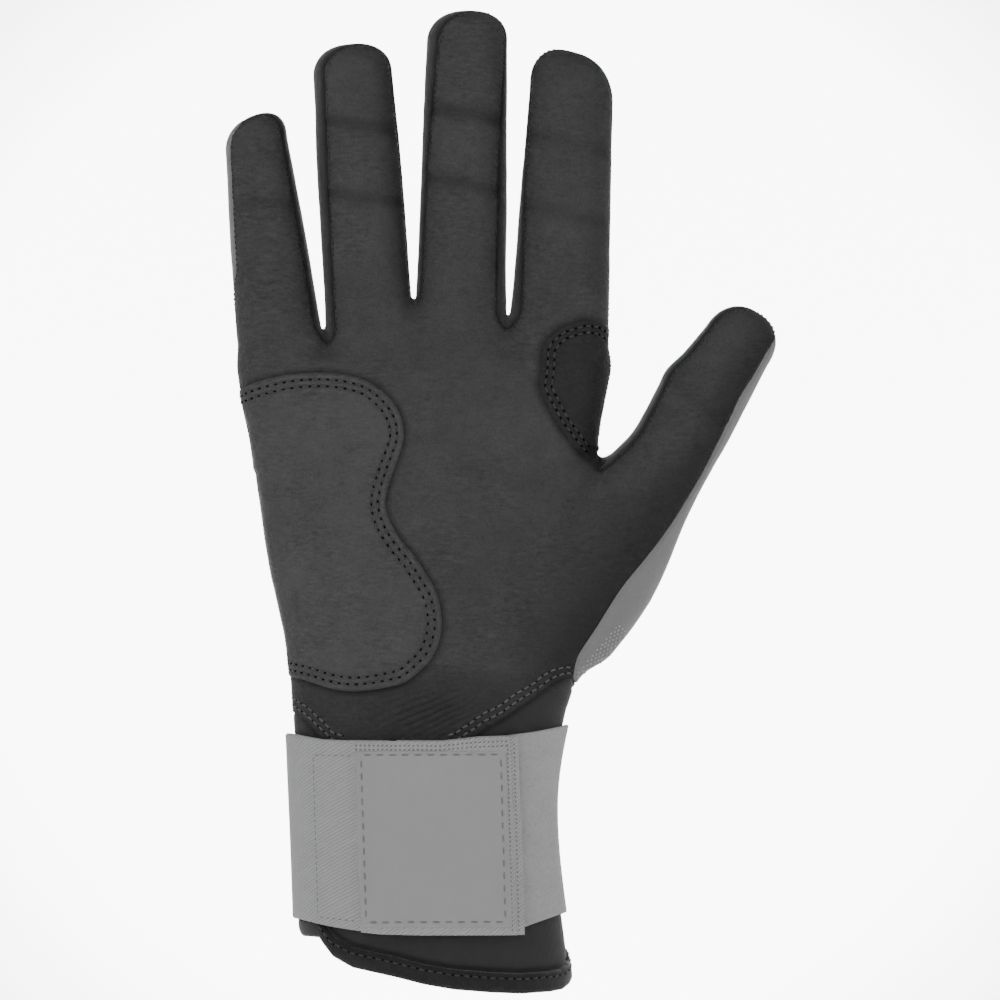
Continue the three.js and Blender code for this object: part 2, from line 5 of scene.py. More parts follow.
import bpy
import numpy as np
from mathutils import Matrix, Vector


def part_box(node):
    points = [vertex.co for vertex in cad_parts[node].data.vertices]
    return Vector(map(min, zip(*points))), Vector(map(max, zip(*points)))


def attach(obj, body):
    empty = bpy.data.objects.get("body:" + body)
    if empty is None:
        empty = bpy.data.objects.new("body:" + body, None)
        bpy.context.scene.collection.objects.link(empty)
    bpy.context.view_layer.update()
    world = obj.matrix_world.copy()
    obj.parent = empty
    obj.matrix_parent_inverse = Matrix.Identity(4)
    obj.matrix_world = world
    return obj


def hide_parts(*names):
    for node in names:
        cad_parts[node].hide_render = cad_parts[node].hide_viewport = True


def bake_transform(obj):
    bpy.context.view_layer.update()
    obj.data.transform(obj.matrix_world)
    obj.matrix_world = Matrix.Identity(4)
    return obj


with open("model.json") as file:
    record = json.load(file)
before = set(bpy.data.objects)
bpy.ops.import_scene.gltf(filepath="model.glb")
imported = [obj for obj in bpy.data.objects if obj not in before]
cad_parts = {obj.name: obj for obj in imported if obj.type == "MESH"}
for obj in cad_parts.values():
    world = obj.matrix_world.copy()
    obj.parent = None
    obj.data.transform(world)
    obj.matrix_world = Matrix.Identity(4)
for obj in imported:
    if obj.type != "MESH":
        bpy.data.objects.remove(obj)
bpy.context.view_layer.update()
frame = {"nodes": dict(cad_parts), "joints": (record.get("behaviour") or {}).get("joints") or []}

import openvdb
from mathutils import Vector

bl_info = {
    "name": "Batting glove",
    "version": (1, 0, 0),
    "blender": (4, 5, 0),
    "location": "3D View > Sidebar > Glove",
    "description": "Sews the soft pieces of a batting glove over its frame",
    "category": "Object",
}

# Lengths inside the functions are millimetres; a mesh is written in metres
METRE = 1000.0

# The photograph's camera: where it stands, and how much it takes in at the middle plane
PHOTO_SIZE = 1000
CAMERA_PLACE = (18.9, -650.0, 129.5)
VIEW_WIDTH = 270.0
SENSOR = 36.0
PIXEL = 0.266  # one pixel at the palm's surface

# Cross-sections of the hand: height, width, depth, offset towards the thumb
HAND_STATIONS = (
    (-8.0, 72.6, 37.4, 2.1),
    (0.0, 72.0, 37.0, 1.8),
    (48.5, 69.0, 34.0, -1.4),
    (88.9, 78.5, 32.0, 0.9),
    (113.6, 86.0, 30.0, -0.3),
    (141.6, 92.0, 27.0, -1.5),
    (168.4, 100.0, 21.5, -1.6),
)
ROUNDNESS = 2.3  # exponent of every cross-section
SEAM_PLANE = 2.0  # front and back of the hand meet here
HAND_TOP_ROUNDING = 6.0

# A finger reaches down into the hand, widens there, and lower down sinks below its surface
STUB = 34.0
FLARE = 2.0
FLARE_RUN = 4.0
STUB_SINKS = 3.0
STUB_SINKS_BETWEEN = (12.0, 32.0)

# The fingers curve forward, most at the tip of the longest
FORWARD_CURVE = 6.5
LONGEST = 76.0

# How softly the parts of the hand run into each other
CROTCHES = (171.3, 181.2, 175.9)
CROTCH_REACH = 2.2
CROTCH_FILL = 7.0
CROTCH_RUN = 5.0
THUMB_FILL = 6.0
KNUCKLE_FILL = 4.0

# Fingers and thumb: length, rounded end, skew of that end, widths and depths at root, joint and tip
LIMB_SIZES = {
    "pinky": (58.0, 7.2, -0.24, (22.8, 20.4, 16.8), (18.0, 16.6, 14.0)),
    "ring": (67.8, 8.2, -0.03, (23.4, 23.0, 21.2), (19.8, 18.8, 15.8)),
    "middle": (76.0, 8.2, -0.05, (24.2, 23.2, 21.6), (19.8, 18.8, 15.8)),
    "index": (70.0, 11.0, 0.22, (26.4, 24.6, 22.4), (19.8, 18.8, 15.8)),
    "thumb": (54.0, 10.5, 0.0, (27.6, 23.4, 19.6), (22.0, 19.0, 15.6)),
}
SKEW_BETWEEN = (-14.0, 4.0)  # the skew grows over this stretch round the start of the rounded end
THUMB_FORWARD = -2.0
# Ball of the thumb: height, width, depth
THUMB_BALL = ((-58.0, 31.0, 24.0), (-27.0, 36.0, 28.0))
# What is added to the thumb's half width on the side of the web, at each height
THUMB_WAIST = (
    (-8.0, 0.0), (3.0, -1.5), (9.0, -2.1), (16.0, -1.3), (22.5, -0.2), (28.0, 0.9), (34.0, 0.2),
    (41.0, 0.0),
)
# The foot of the thumb's ball gets narrower and thinner, to end inside the palm
THUMB_FOOT_BETWEEN = (44.0, 58.0)
THUMB_FOOT_SINKS = (4.5, 3.0)
FINGERS = ("pinky", "ring", "middle", "index")
LIMBS = FINGERS + ("thumb",)

# Where segments are cut, above a finger's root or as shares of its joint's height
ROOT_CUT = 1.5
UPPER_CUT = 0.58

# How far inside the silhouette each front seam lies, at root, middle and tip of the finger
SEAM_INSETS = {
    "pinky": ((1.3, 1.3, 1.3), (1.2, 1.2, 0.9)),
    "ring": ((2.6, 3.0, 3.0), (0.0, 0.1, 0.4)),
    "middle": ((1.3, 1.7, 3.4), (2.3, 1.9, 0.1)),
    "index": ((2.4, 0.8, 0.0), (0.0, 0.0, 0.0)),
    "thumb": ((1.8, 1.4, 0.8), (0.0, 0.0, 0.0)),
}
LEFT_KIND = {"pinky": "back", "ring": "strip", "middle": "strip", "index": "strip", "thumb": "strip"}
RIGHT_KIND = {"pinky": "strip", "ring": "strip", "middle": "strip", "index": "front", "thumb": "back"}
STRIP_EDGE = 5.75  # back edge of the strips, behind the middle plane
# Heights between which a seam leaves the hand's own for its place on the finger
FRONT_SETTLES = (2.0, 18.0)
BACK_SETTLES = (6.0, 18.0)
# The strip narrows towards the tip, over this stretch below it
STRIP_NARROWS = (-9.0, -1.0)
# How far inside the silhouette the leather ends on the thumb's outer side, at each height
THUMB_EDGE_INSETS = (
    (-58.0, 1.4), (-27.0, 1.6), (-4.0, 1.6), (20.0, 1.6), (34.0, 1.3), (43.0, 0.2), (52.0, 0.0),
)
THUMB_SIDES = (-5.0, 5.0)  # between its web side and its outer side
THUMB_STRIP_STARTS = (-16.0, -10.0)
THUMB_SEAM_SETTLES = (-40.0, -24.0)
# How often the seams' lines are smoothed, and where the photograph's own line is kept
FRONT_SMOOTHING = 9
STRIP_SMOOTHING = 5
DRAWN_ROWS = (480.0, 510.0)
DRAWN_ACROSS = (20.0, 30.0)

# The seam above the cuff at the back, and how it rises towards the thumb
BACK_SEAM = 74.5
BACK_SEAM_RISE = 3.0
BACK_SEAM_RISES_BETWEEN = (10.0, 32.0)
# Height of the hem behind, at the little finger's side and at the thumb's
HEM_SIDES = (11.2, 3.0)
HEM_HALF = 36.0
# Pad and patch end this far behind the middle plane
PAD_BACK = 1.2
PATCH_BACK = 1.0
SIDE_SHARE = 0.8

# Edge lengths of the surface beside seams, away from them, and in the folds above the strap
FINE_EDGE = 0.45
EDGE_GROWTH = 0.35
FOLD_EDGE = 0.5
FAR = 50.0

# The deepest place between index and thumb
WEB_PLACE = np.array([46.3, -3.0, 141.0])
# Rows of stitches, from the edge of their panel
CUFF_ROWS = (1.9, 3.7)
SEAM_ROW = 1.0

# Where the leather folds over a finger joint: finger, height, depth
FINGER_FOLDS = (
    ("middle", 48.0, 0.42), ("middle", 29.5, 0.34), ("ring", 45.5, 0.36), ("ring", 26.5, 0.36),
    ("pinky", 34.0, 0.22), ("index", 45.0, 0.18), ("index", 26.0, 0.2), ("thumb", 25.0, 0.12),
)
FOLD_WIDTH = 1.5
FOLD_SWELL = 0.35
FOLD_SWELL_WIDTH = 4.5
FOLD_SLANT = 0.16
FOLD_WAVER = 0.6
# Lumps of worn leather: height, size, seed
LUMPS = ((0.18, 9.0, 3), (0.09, 3.5, 4))
LUMPS_CALM = (0.9, 5.0)
# Fine folds above the strap: their middle and reach in the photograph, direction, spacing, height
WRIST_MIDDLE = (432.0, 714.0)
WRIST_REACH = (44.0, 22.0)
WRIST_WAY = (0.42, 0.9)
WRIST_PITCH = 6.4
WRIST_WAVER = 6.0
WRIST_FOLD = 0.24

# Painted shade on the leather, from 0 to 1: how much darker it is painted in seams and folds, beside pad
# and patch, under the cuff's edge and where the hand turns away, and how far that reaches
SEAM_SHADE = (("front", 0.45, 0.7), ("back", 0.6, 0.4))
OVERLAY_SHADE = 0.5
OVERLAY_SHADE_REACH = 1.0
FOLD_SHADE = 0.9
FOLD_SHADE_REACH = 2.0
WRIST_FOLD_SHADE = 0.3
FAR_SIDE_SHADE = 0.26
FAR_SIDE = (0.3, 0.9)
CUFF_EDGE_SHADE = 0.45
CUFF_EDGE_SHADE_PLACE = -0.5
CUFF_EDGE_SHADE_REACH = 0.9
MOUND_SHADE = 0.62
MOUND_REACH = (7.0, 15.0)
MOUND_ROWS = (430.0, 530.0)
LOW_SHADE = 0.38
LOW_ROWS = (650.0, 695.0)
FRONT_ENDS = 6.0
MOST_SHADE = 0.85

# Lines of the photograph, in its pixels
THUMB_EDGE = (
    (774, 340), (767, 353), (754, 376), (742, 395), (729, 422), (718, 444), (704, 473), (689, 498),
    (676, 519), (658, 544), (641, 565), (623, 587), (608, 610), (595, 631), (581, 652), (576, 664),
    (574, 690), (573, 760),
)
PALM_EDGE = (
    (270, 702), (290, 709), (296, 714), (304, 721), (314, 731), (330, 746), (350, 753), (435, 753),
    (458, 747), (474, 737), (487, 728), (504, 719), (518, 709), (532, 700), (546, 690), (556, 683.5),
    (566, 679), (574, 679), (582, 689), (590, 697),
)
PAD_OUTLINE = (
    (230, 398), (247, 386), (281, 376), (318, 372.5), (347, 375), (369, 382), (385.5, 394), (397, 408),
    (403, 423), (404, 439), (400, 454), (394, 470), (388, 489), (385.5, 504), (388, 515.5), (393, 527),
    (403, 542), (416, 558), (425, 572), (436, 591), (441, 610), (442, 626), (439, 642), (432, 658),
    (420, 671), (404, 683), (384, 688), (364, 691), (345, 691), (326, 687), (311.5, 682), (295, 677),
    (270, 672),
)
PATCH_OUTLINE = (
    (640, 329), (611, 327.5), (599, 321), (586, 319), (573, 322), (560, 327), (549, 336), (542.5, 346),
    (541, 357), (540, 371), (538, 385), (541, 396), (548, 410), (557, 426), (569, 442), (580, 455),
    (591, 463.5), (598, 469), (605, 463),
)
STRAP_TOP = (
    (270, 730), (287, 732), (306, 736), (324, 739.5), (345, 740.5), (439, 741), (458, 739), (474, 737),
    (502, 736), (529, 732), (555.5, 726.5), (565, 720), (580, 712),
)
STRAP_BOTTOM = (
    (270, 914), (297, 919), (326, 926), (347, 929.5), (376, 933), (414, 934), (452, 934), (500, 931),
    (517, 927), (540, 919), (563, 911), (580, 906),
)
TAB_BOTTOM = ((340, 929), (376, 933), (414, 934), (452, 934), (512, 934), (530, 933))
FACE_TOP = ((340, 750.5), (520, 750.5))
FACE_BOTTOM = ((340, 926), (520, 926))
FACE_ROWS = (
    ((361, 755), (500.5, 754.5)), ((501, 757), (505.5, 920)),
    ((505.5, 922), (367, 922.5)), ((366, 920), (361, 758)),
)
SELVAGE_ROWS = (
    ((352, 745.5), (439, 746), (474, 742.5), (506, 741)),
    ((352, 749.5), (439, 750), (474, 747), (506, 746)),
    ((507.5, 741), (512.5, 930)), ((514, 740), (519, 930)),
)
ELASTIC_ROWS = (((313, 757), (318, 915)), ((314, 755), (352, 756)), ((319, 917), (356, 921.5)))
HEM_BOTTOM = (
    (280, 912), (296, 922), (301, 932), (307, 936.5), (321, 938), (326, 946), (334, 957), (353, 968),
    (397, 978), (424, 985), (453, 990), (491, 993), (520, 994), (548, 992), (560, 989.5), (566, 985),
    (570, 978), (573, 970), (580, 964),
)
# The palm's cuff seam shows its stitches beside the tab, between these columns
TAB_COLUMNS = (344.0, 447.0)
STRAP_END = 572.0

# Small raised dots on the grey behind the thumb's ball: their line, and how they lie on it
DOT_LINE = ((578, 681), (624, 626))
DOT_RUN = 70.0
DOT_PITCH = 3.6
DOT_ROWS = (-5.4, 6.0)
DOT_SIZE = (0.62, 0.62, 0.5)
DOT_LIFT = 0.1

# Cuff and hem
NEOPRENE = 1.5
CUFF_SINKS = (0.2, 1.2)
CUFF_GROOVE = 0.6
CUFF_GROOVE_HEIGHT = 6.1
HEM_TALL = 5.4
HEM_THICK = 2.6
HEM_AROUND = 420
HEM_SECTION = 20
HEM_ROW = 4.1
HEM_THREAD = 0.42

# Heel pad and web patch
OVERLAY_THICKNESS = 0.7
OVERLAY_EDGE = 0.8
ROW_DEPTH = 0.22
ROW_WIDTH = 0.45
PAD_FILL = 0.9
PAD_FILL_RUN = 7.0

# Strap: where its pieces start and end round the wrist, and how far off the cuff they lie
ELASTIC_START = -math.pi - 0.32
REAR_START = math.pi - 0.28
REAR_END = -0.02
LOOP_END = 0.02
ELASTIC_OFFSET = 1.4
LOOP_OFFSET = 0.4
TAB_OFFSET = 2.6
HOOK_OFFSET = 1.6
STRAP_MIDDLE = 40.0
LINES_HEIGHT = 42.0
LINES_OFFSET = 1.5
TAB_WIDTH = 40.4
TAB_LEAN = 1.9
TAB_FACE_SPAN = (0.012, 0.955)
TAPE_SPAN = (-0.3, 2.2)
HOOK_SPAN = (-26.0, -1.0)
HOOK_HEIGHT_SPAN = (0.06, 0.94)
SLAB_STEP = 0.8
SLAB_STEP_UP = 1.4
FINE_THREAD = 0.34


def length(name, description, default):
    return bpy.props.FloatProperty(
        name=name, description=description, default=default, min=0.0, precision=5, unit="LENGTH",
    )


def grey(name, description, value):
    return bpy.props.FloatVectorProperty(
        name=name, description=description, default=(value, value, value * 1.02), min=0.0, max=1.0,
        subtype="COLOR",
    )


class GloveSizes(bpy.types.PropertyGroup):
    """Sizes of the sewing that a user would change."""

    fineness: length("Fineness", "Edge length of the hand's surface", 0.001)
    panel: length("Panel thickness", "Thickness of leather, knit and back fabric", 0.001)
    seam_width: length("Seam width", "How far a seam draws the panels in", 0.0011)
    seam_depth: length("Seam depth", "How deep a seam lies", 0.00045)
    pad_height: length("Pad height", "How far the heel pad stands proud", 0.0015)
    patch_height: length("Patch height", "How far the web patch stands proud", 0.0009)
    stitch_pitch: length("Stitch pitch", "From one stitch of the pad to the next", 0.00236)
    fine_pitch: length("Fine pitch", "From one stitch of a finger seam to the next", 0.0015)
    cuff_pitch: length("Cuff pitch", "From one stitch above the strap to the next", 0.0021)
    tab_pitch: length("Tab pitch", "From one stitch of the tab to the next", 0.0031)
    thread: length("Thread", "Thickness of the sewing thread", 0.00042)


class GloveColours(bpy.types.PropertyGroup):
    """Colours of leather, cloth and thread."""

    palm: grey("Palm leather", "Leather of palm and fingers", 0.049)
    pad: grey("Pad leather", "Leather of the heel pad", 0.062)
    patch: grey("Patch leather", "Leather of the web patch", 0.021)
    strip: grey("Side knit", "Strips between front and back of the fingers", 0.026)
    back: grey("Back", "Fabric of the back", 0.19)
    cuff: grey("Cuff", "Neoprene of the cuff", 0.026)
    hem: grey("Hem", "Binding of the hem", 0.007)
    elastic: grey("Elastic", "Elastic of the strap", 0.375)
    loop: grey("Loop pile", "Loop pile under the tab", 0.38)
    tab: grey("Tab", "Face of the tab", 0.305)
    hook: grey("Hook tape", "Hooks under the tab", 0.03)
    thread_dark: grey("Dark thread", "Thread of pad, patch and fingers", 0.036)
    # Near black: the seam thread's own dark colour and the painted shade of its stitch holes
    thread_seam_and_shade: grey("Seam thread", "Thread of the finger seams", 0.004)
    thread_light: grey("Cuff thread", "Thread of the seam above the strap", 0.10)
    thread_strap: grey("Strap thread", "Thread of the strap's edges", 0.40)
    thread_tab: grey("Tab thread", "Thread round the tab's face", 0.19)


def mm(value):
    return value * METRE


def smoothstep(x):
    x = np.clip(x, 0.0, 1.0)
    return x * x * (3.0 - 2.0 * x)


def eased(value, low, high):
    """0 below the low value, 1 above the high one, and smooth between them."""
    return smoothstep((value - low) / (high - low))


def hill(away, width):
    """A smooth hill of height 1 that falls off within its width."""
    return np.exp(-((away / width) ** 2))


def rounded(inside, radius):
    """Height of a rounded edge, as a share of its radius, so far inside it."""
    return np.sqrt(1.0 - (1.0 - np.clip(inside / radius, 0.0, 1.0)) ** 2)


def unit(rows):
    return rows / np.maximum(np.linalg.norm(rows, axis=1, keepdims=True), 1e-12)


def smooth_line(places, values, at):
    """A value on a smooth line through the stations."""
    places, values = np.asarray(places, float), np.asarray(values, float)
    low = np.maximum(np.arange(len(places)) - 1, 0)
    high = np.minimum(np.arange(len(places)) + 1, len(places) - 1)
    slopes = (values[high] - values[low]) / (places[high] - places[low])
    n = np.clip(np.searchsorted(places, at, side="right") - 1, 0, len(places) - 2)
    span = places[n + 1] - places[n]
    t = np.clip((at - places[n]) / span, 0.0, 1.0)
    rise = smoothstep(t)
    ease_in = t * (1.0 - t) ** 2 * span * slopes[n]
    ease_out = t * t * (t - 1.0) * span * slopes[n + 1]
    return values[n] + (values[n + 1] - values[n]) * rise + ease_in + ease_out


def smooth_min(a, b, reach):
    near = np.maximum(reach - np.abs(a - b), 0.0) / reach
    return np.minimum(a, b) - near * near * reach / 4.0


def rounded_distance(ratios, radii):
    """Distance to a rounded body, from each axis' share of its half size."""
    ratio = np.maximum(sum(r ** ROUNDNESS for r in ratios) ** (1.0 / ROUNDNESS), 1e-4)
    slope = sum(((r / ratio) ** (ROUNDNESS - 1.0) / size) ** 2 for r, size in zip(ratios, radii))
    return (ratio - 1.0) / np.maximum(np.sqrt(slope), 0.02)


def photo(points):
    """Where points of the frame lie in the photograph, in pixels."""
    across, away, up = CAMERA_PLACE
    scale = PHOTO_SIZE / VIEW_WIDTH * -away / (points[:, 1] - away)
    middle = PHOTO_SIZE / 2
    return np.stack([middle + (points[:, 0] - across) * scale, middle - (points[:, 2] - up) * scale], 1)


def photo_height(pixel, depth):
    """Height in the frame of a pixel row, on a surface at a depth."""
    away, up = CAMERA_PLACE[1:]
    return up + (PHOTO_SIZE / 2 - pixel) * VIEW_WIDTH / PHOTO_SIZE * (depth - away) / -away


def photo_column(across, depth):
    away = CAMERA_PLACE[1]
    return PHOTO_SIZE / 2 + (across - CAMERA_PLACE[0]) * PHOTO_SIZE / VIEW_WIDTH * -away / (depth - away)


def row_of(line, column):
    """The pixel row at which a line of the photograph passes a column."""
    return np.interp(column, *np.array(line).T)


class Limb:
    """One finger or the thumb, in its own directions: across, deep and along."""

    def __init__(self, name):
        joints = {joint["name"]: joint for joint in frame["joints"]}
        base = joints[f"{name}_base"]
        middle = joints[f"{name}_middle"]
        self.name = name
        forward = THUMB_FORWARD if name == "thumb" else 0.0
        place = [mm(c) for c in base["pos_m"]]
        self.root = np.array([place[0], forward, place[2]])
        self.cos, self.sin = base["axis"][0], -base["axis"][2]
        reach = np.array(middle["pos_m"]) - np.array(base["pos_m"])
        self.joint = mm(reach[0] * self.sin + reach[2] * self.cos)
        self.length, self.dome, self.skew, widths, depths = LIMB_SIZES[name]
        self.shoulder = self.length - self.dome
        heights = [0.0, self.joint, self.shoulder]
        self.bottom = STUB
        if name == "thumb":
            self.bottom = -THUMB_BALL[0][0]
            heights = [station[0] for station in THUMB_BALL] + heights
            widths = tuple(station[1] for station in THUMB_BALL) + widths
            depths = tuple(station[2] for station in THUMB_BALL) + depths
        self.heights, self.widths, self.depths = heights, widths, depths
        self.flares = None

    def local(self, points):
        away = points - self.root
        across = away[..., 0] * self.cos - away[..., 2] * self.sin
        height = away[..., 0] * self.sin + away[..., 2] * self.cos
        deep = away[..., 1] + FORWARD_CURVE * (np.maximum(height, 0.0) / LONGEST) ** 2
        return across, deep, height

    def half_sizes(self, across, height):
        wide = smooth_line(self.heights, self.widths, height) / 2.0
        deep = smooth_line(self.heights, self.depths, height) / 2.0
        if self.name == "thumb":
            wide = wide + np.where(across < 0.0, smooth_line(*np.array(THUMB_WAIST).T, height), 0.0)
            foot = eased(-height, *THUMB_FOOT_BETWEEN)
            return wide - THUMB_FOOT_SINKS[0] * foot, deep - THUMB_FOOT_SINKS[1] * foot
        left, right = (FLARE * smoothstep((-height - start) / FLARE_RUN) for start in self.flares)
        sunk = STUB_SINKS * eased(-height, *STUB_SINKS_BETWEEN)
        return wide + np.where(across < 0.0, left, right) - sunk, deep - sunk

    def distance(self, points):
        across, deep, height = self.local(points)
        wide, thick = self.half_sizes(across, height)
        lean = self.skew * across * eased(height - self.shoulder, *SKEW_BETWEEN)
        rise = np.maximum(height + lean - self.shoulder, 0.0)
        ratios = (np.abs(across) / wide, np.abs(deep) / thick, rise / self.dome)
        return np.maximum(rounded_distance(ratios, (wide, thick, self.dome)), -self.bottom - height)


@lru_cache(maxsize=None)
def limbs():
    made = {name: Limb(name) for name in LIMBS}
    heights = [made[name].root[2] for name in FINGERS]
    for i, name in enumerate(FINGERS):
        neighbours = (heights[i - 1] if i else None, heights[i + 1] if i + 1 < len(heights) else None)
        made[name].flares = [STUB if z is None else max(heights[i] - z, 0.0) for z in neighbours]
    return made


def hand_sizes(height):
    stations = np.array(HAND_STATIONS)
    return [smooth_line(stations[:, 0], stations[:, k], height) for k in (1, 2, 3)]


def trunk_distance(points):
    wide, deep, side = hand_sizes(points[..., 2])
    ratios = (np.abs(points[..., 0] - side) / (wide / 2.0), np.abs(points[..., 1]) / (deep / 2.0))
    around = rounded_distance(ratios, (wide / 2.0, deep / 2.0))
    above = points[..., 2] - HAND_STATIONS[-1][0]
    return -smooth_min(-around, -above, HAND_TOP_ROUNDING)


def part_distances(points):
    return [limbs()[name].distance(points) for name in LIMBS] + [trunk_distance(points)]


def hand_distance(points):
    """Distance to the whole hand, with soft crotches between its parts."""
    *stalls, thumb, trunk = part_distances(points)
    fingers = stalls[0]
    for stall, crotch in zip(stalls[1:], CROTCHES):
        reach = CROTCH_REACH + CROTCH_FILL * smoothstep((crotch - points[..., 2]) / CROTCH_RUN)
        fingers = smooth_min(fingers, stall, reach)
    return smooth_min(smooth_min(trunk, thumb, THUMB_FILL), fingers, KNUCKLE_FILL)


def slope_at(points, step=0.05):
    """Outward directions at points of the hand's surface."""
    out = np.zeros_like(points)
    for axis in range(3):
        shift = np.zeros(3)
        shift[axis] = step
        out[:, axis] = hand_distance(points + shift) - hand_distance(points - shift)
    return unit(out)


def settled(points):
    """Points moved onto the hand's surface."""
    for _ in range(2):
        points = points - slope_at(points) * hand_distance(points)[:, None]
    return points


class Patch:
    """A piece of surface: points, triangles, and a value of each field at each point."""

    def __init__(self, points, faces, fields=None):
        self.points, self.faces, self.fields = points, faces, dict(fields or {})

    def mixed(self, first, second, share):
        blend = lambda a: a[first] + (a[second] - a[first]) * (share[:, None] if a.ndim > 1 else share)
        return blend(self.points), {name: blend(values) for name, values in self.fields.items()}

    def grown(self, points, fields, faces):
        joined = {name: np.concatenate([self.fields[name], fields[name]]) for name in self.fields}
        return Patch(np.concatenate([self.points, points]), faces, joined).tidy()

    def tidy(self):
        used, back = np.unique(self.faces, return_inverse=True)
        fields = {name: values[used] for name, values in self.fields.items()}
        return Patch(self.points[used], back.reshape(-1, 3), fields)

    def below(self, name, level=0.0, sign=1.0):
        """The part where a field is below a level, or above it with sign -1."""
        value = (self.fields[name] - level) * sign
        value = np.where(np.abs(value) < 0.02, 0.0, value)
        inside = value <= 0.0
        count = inside[self.faces].sum(1)
        whole = self.faces[count == 3]
        odd = self.faces[(count == 1) | (count == 2)]
        if not len(odd):
            return Patch(self.points, whole, self.fields).tidy() if len(whole) else None
        alone = np.where(inside[odd].sum(1)[:, None] == 1, inside[odd], ~inside[odd]).argmax(1)
        rows = np.arange(len(odd))
        a, b, c = (odd[rows, (alone + k) % 3] for k in range(3))
        pairs = np.sort(np.concatenate([np.stack([a, b], 1), np.stack([a, c], 1)]), axis=1)
        unique, back = np.unique(pairs, axis=0, return_inverse=True)
        back = back.reshape(-1)
        low, high = value[unique[:, 0]], value[unique[:, 1]]
        points, fields = self.mixed(unique[:, 0], unique[:, 1], low / (low - high))
        ab, ac = back[: len(odd)] + len(self.points), back[len(odd):] + len(self.points)
        lone = inside[a]
        corner = np.stack([a, ab, ac], 1)[lone]
        rest = ~lone
        first = np.stack([ab, b, c], 1)[rest]
        second = np.stack([ab, c, ac], 1)[rest]
        faces = np.concatenate([whole, corner, first, second])
        made = self.grown(points, fields, faces)
        area = np.linalg.norm(made.face_normals(), axis=1)
        made.faces = made.faces[area > 1e-7]
        return made.tidy()

    def above(self, name, level=0.0):
        return self.below(name, level, -1.0)

    def refined(self, limit, passes=2):
        """Long edges halved until each is about as short as the limit at its ends."""
        made = self
        for _ in range(passes):
            allowed = limit(made)
            pairs, back = made.edges()
            size = np.linalg.norm(made.points[pairs[:, 0]] - made.points[pairs[:, 1]], axis=1)
            cut = size > 1.35 * np.minimum(allowed[pairs[:, 0]], allowed[pairs[:, 1]])
            if not cut.any():
                break
            number = np.full(len(pairs), -1)
            number[cut] = len(made.points) + np.arange(cut.sum())
            points, fields = made.mixed(pairs[cut, 0], pairs[cut, 1], np.full(cut.sum(), 0.5))
            made = made.grown(points, fields, split_faces(made.faces, number[back.reshape(-1, 3)]))
        return made

    def smoothed(self, name, rounds):
        pairs, _ = self.edges()
        value = self.fields[name].copy()
        many = np.bincount(pairs.reshape(-1), minlength=len(value))
        for _ in range(rounds):
            total = np.bincount(pairs[:, 0], value[pairs[:, 1]], len(value))
            total += np.bincount(pairs[:, 1], value[pairs[:, 0]], len(value))
            value = 0.5 * value + 0.5 * total / np.maximum(many, 1)
        self.fields[name] = value

    def edges(self):
        """Each edge once, and the number of the edge at every side of the triangles."""
        sides = np.stack([self.faces, np.roll(self.faces, -1, axis=1)], 2).reshape(-1, 2)
        return np.unique(np.sort(sides, axis=1), axis=0, return_inverse=True)

    def steepness(self, name):
        """How fast a field changes along the surface, at each point."""
        corners, values = self.points[self.faces], self.fields[name][self.faces]
        one, two = corners[:, 1] - corners[:, 0], corners[:, 2] - corners[:, 0]
        d1, d2 = values[:, 1] - values[:, 0], values[:, 2] - values[:, 0]
        g11, g12, g22 = (one * one).sum(1), (one * two).sum(1), (two * two).sum(1)
        area = np.maximum(g11 * g22 - g12 * g12, 1e-12)
        steep = (d1 * d1 * g22 - 2.0 * d1 * d2 * g12 + d2 * d2 * g11) / area
        steep = np.sqrt(np.clip(steep, 0.0, 4.0))
        total = np.bincount(self.faces.reshape(-1), np.repeat(steep, 3), len(self.points))
        return total / np.maximum(np.bincount(self.faces.reshape(-1), minlength=len(self.points)), 1)

    def distance(self, name, low, high=4.0):
        """Distance along the surface from the line where a field is zero."""
        return self.fields[name] / np.clip(self.steepness(name), low, high)

    def face_normals(self):
        corners = self.points[self.faces]
        return np.cross(corners[:, 1] - corners[:, 0], corners[:, 2] - corners[:, 0])

    def normals(self):
        face = np.repeat(self.face_normals(), 3, axis=0)
        corner = self.faces.reshape(-1)
        return unit(np.stack([np.bincount(corner, face[:, k], len(self.points)) for k in range(3)], 1))


def split_faces(faces, middles):
    """Triangles after some of their sides got a middle point."""
    made = []
    count = (middles >= 0).sum(1)
    made.append(faces[count == 0])
    for turn in range(3):
        order = [(turn + k) % 3 for k in range(3)]
        face, middle = faces[:, order], middles[:, order]
        one = (count == 1) & (middle[:, 0] >= 0)
        a, b, c, m = face[one, 0], face[one, 1], face[one, 2], middle[one, 0]
        made += [np.stack([a, m, c], 1), np.stack([m, b, c], 1)]
        two = (count == 2) & (middle[:, 2] < 0)
        a, b, c = (face[two, k] for k in range(3))
        m, n = middle[two, 0], middle[two, 1]
        made += [np.stack([m, b, n], 1), np.stack([a, m, n], 1), np.stack([a, n, c], 1)]
    full = count == 3
    a, b, c = (faces[full, k] for k in range(3))
    m, n, o = (middles[full, k] for k in range(3))
    made += [np.stack(row, 1) for row in ((a, m, o), (m, b, n), (o, n, c), (m, n, o))]
    return np.concatenate(made)


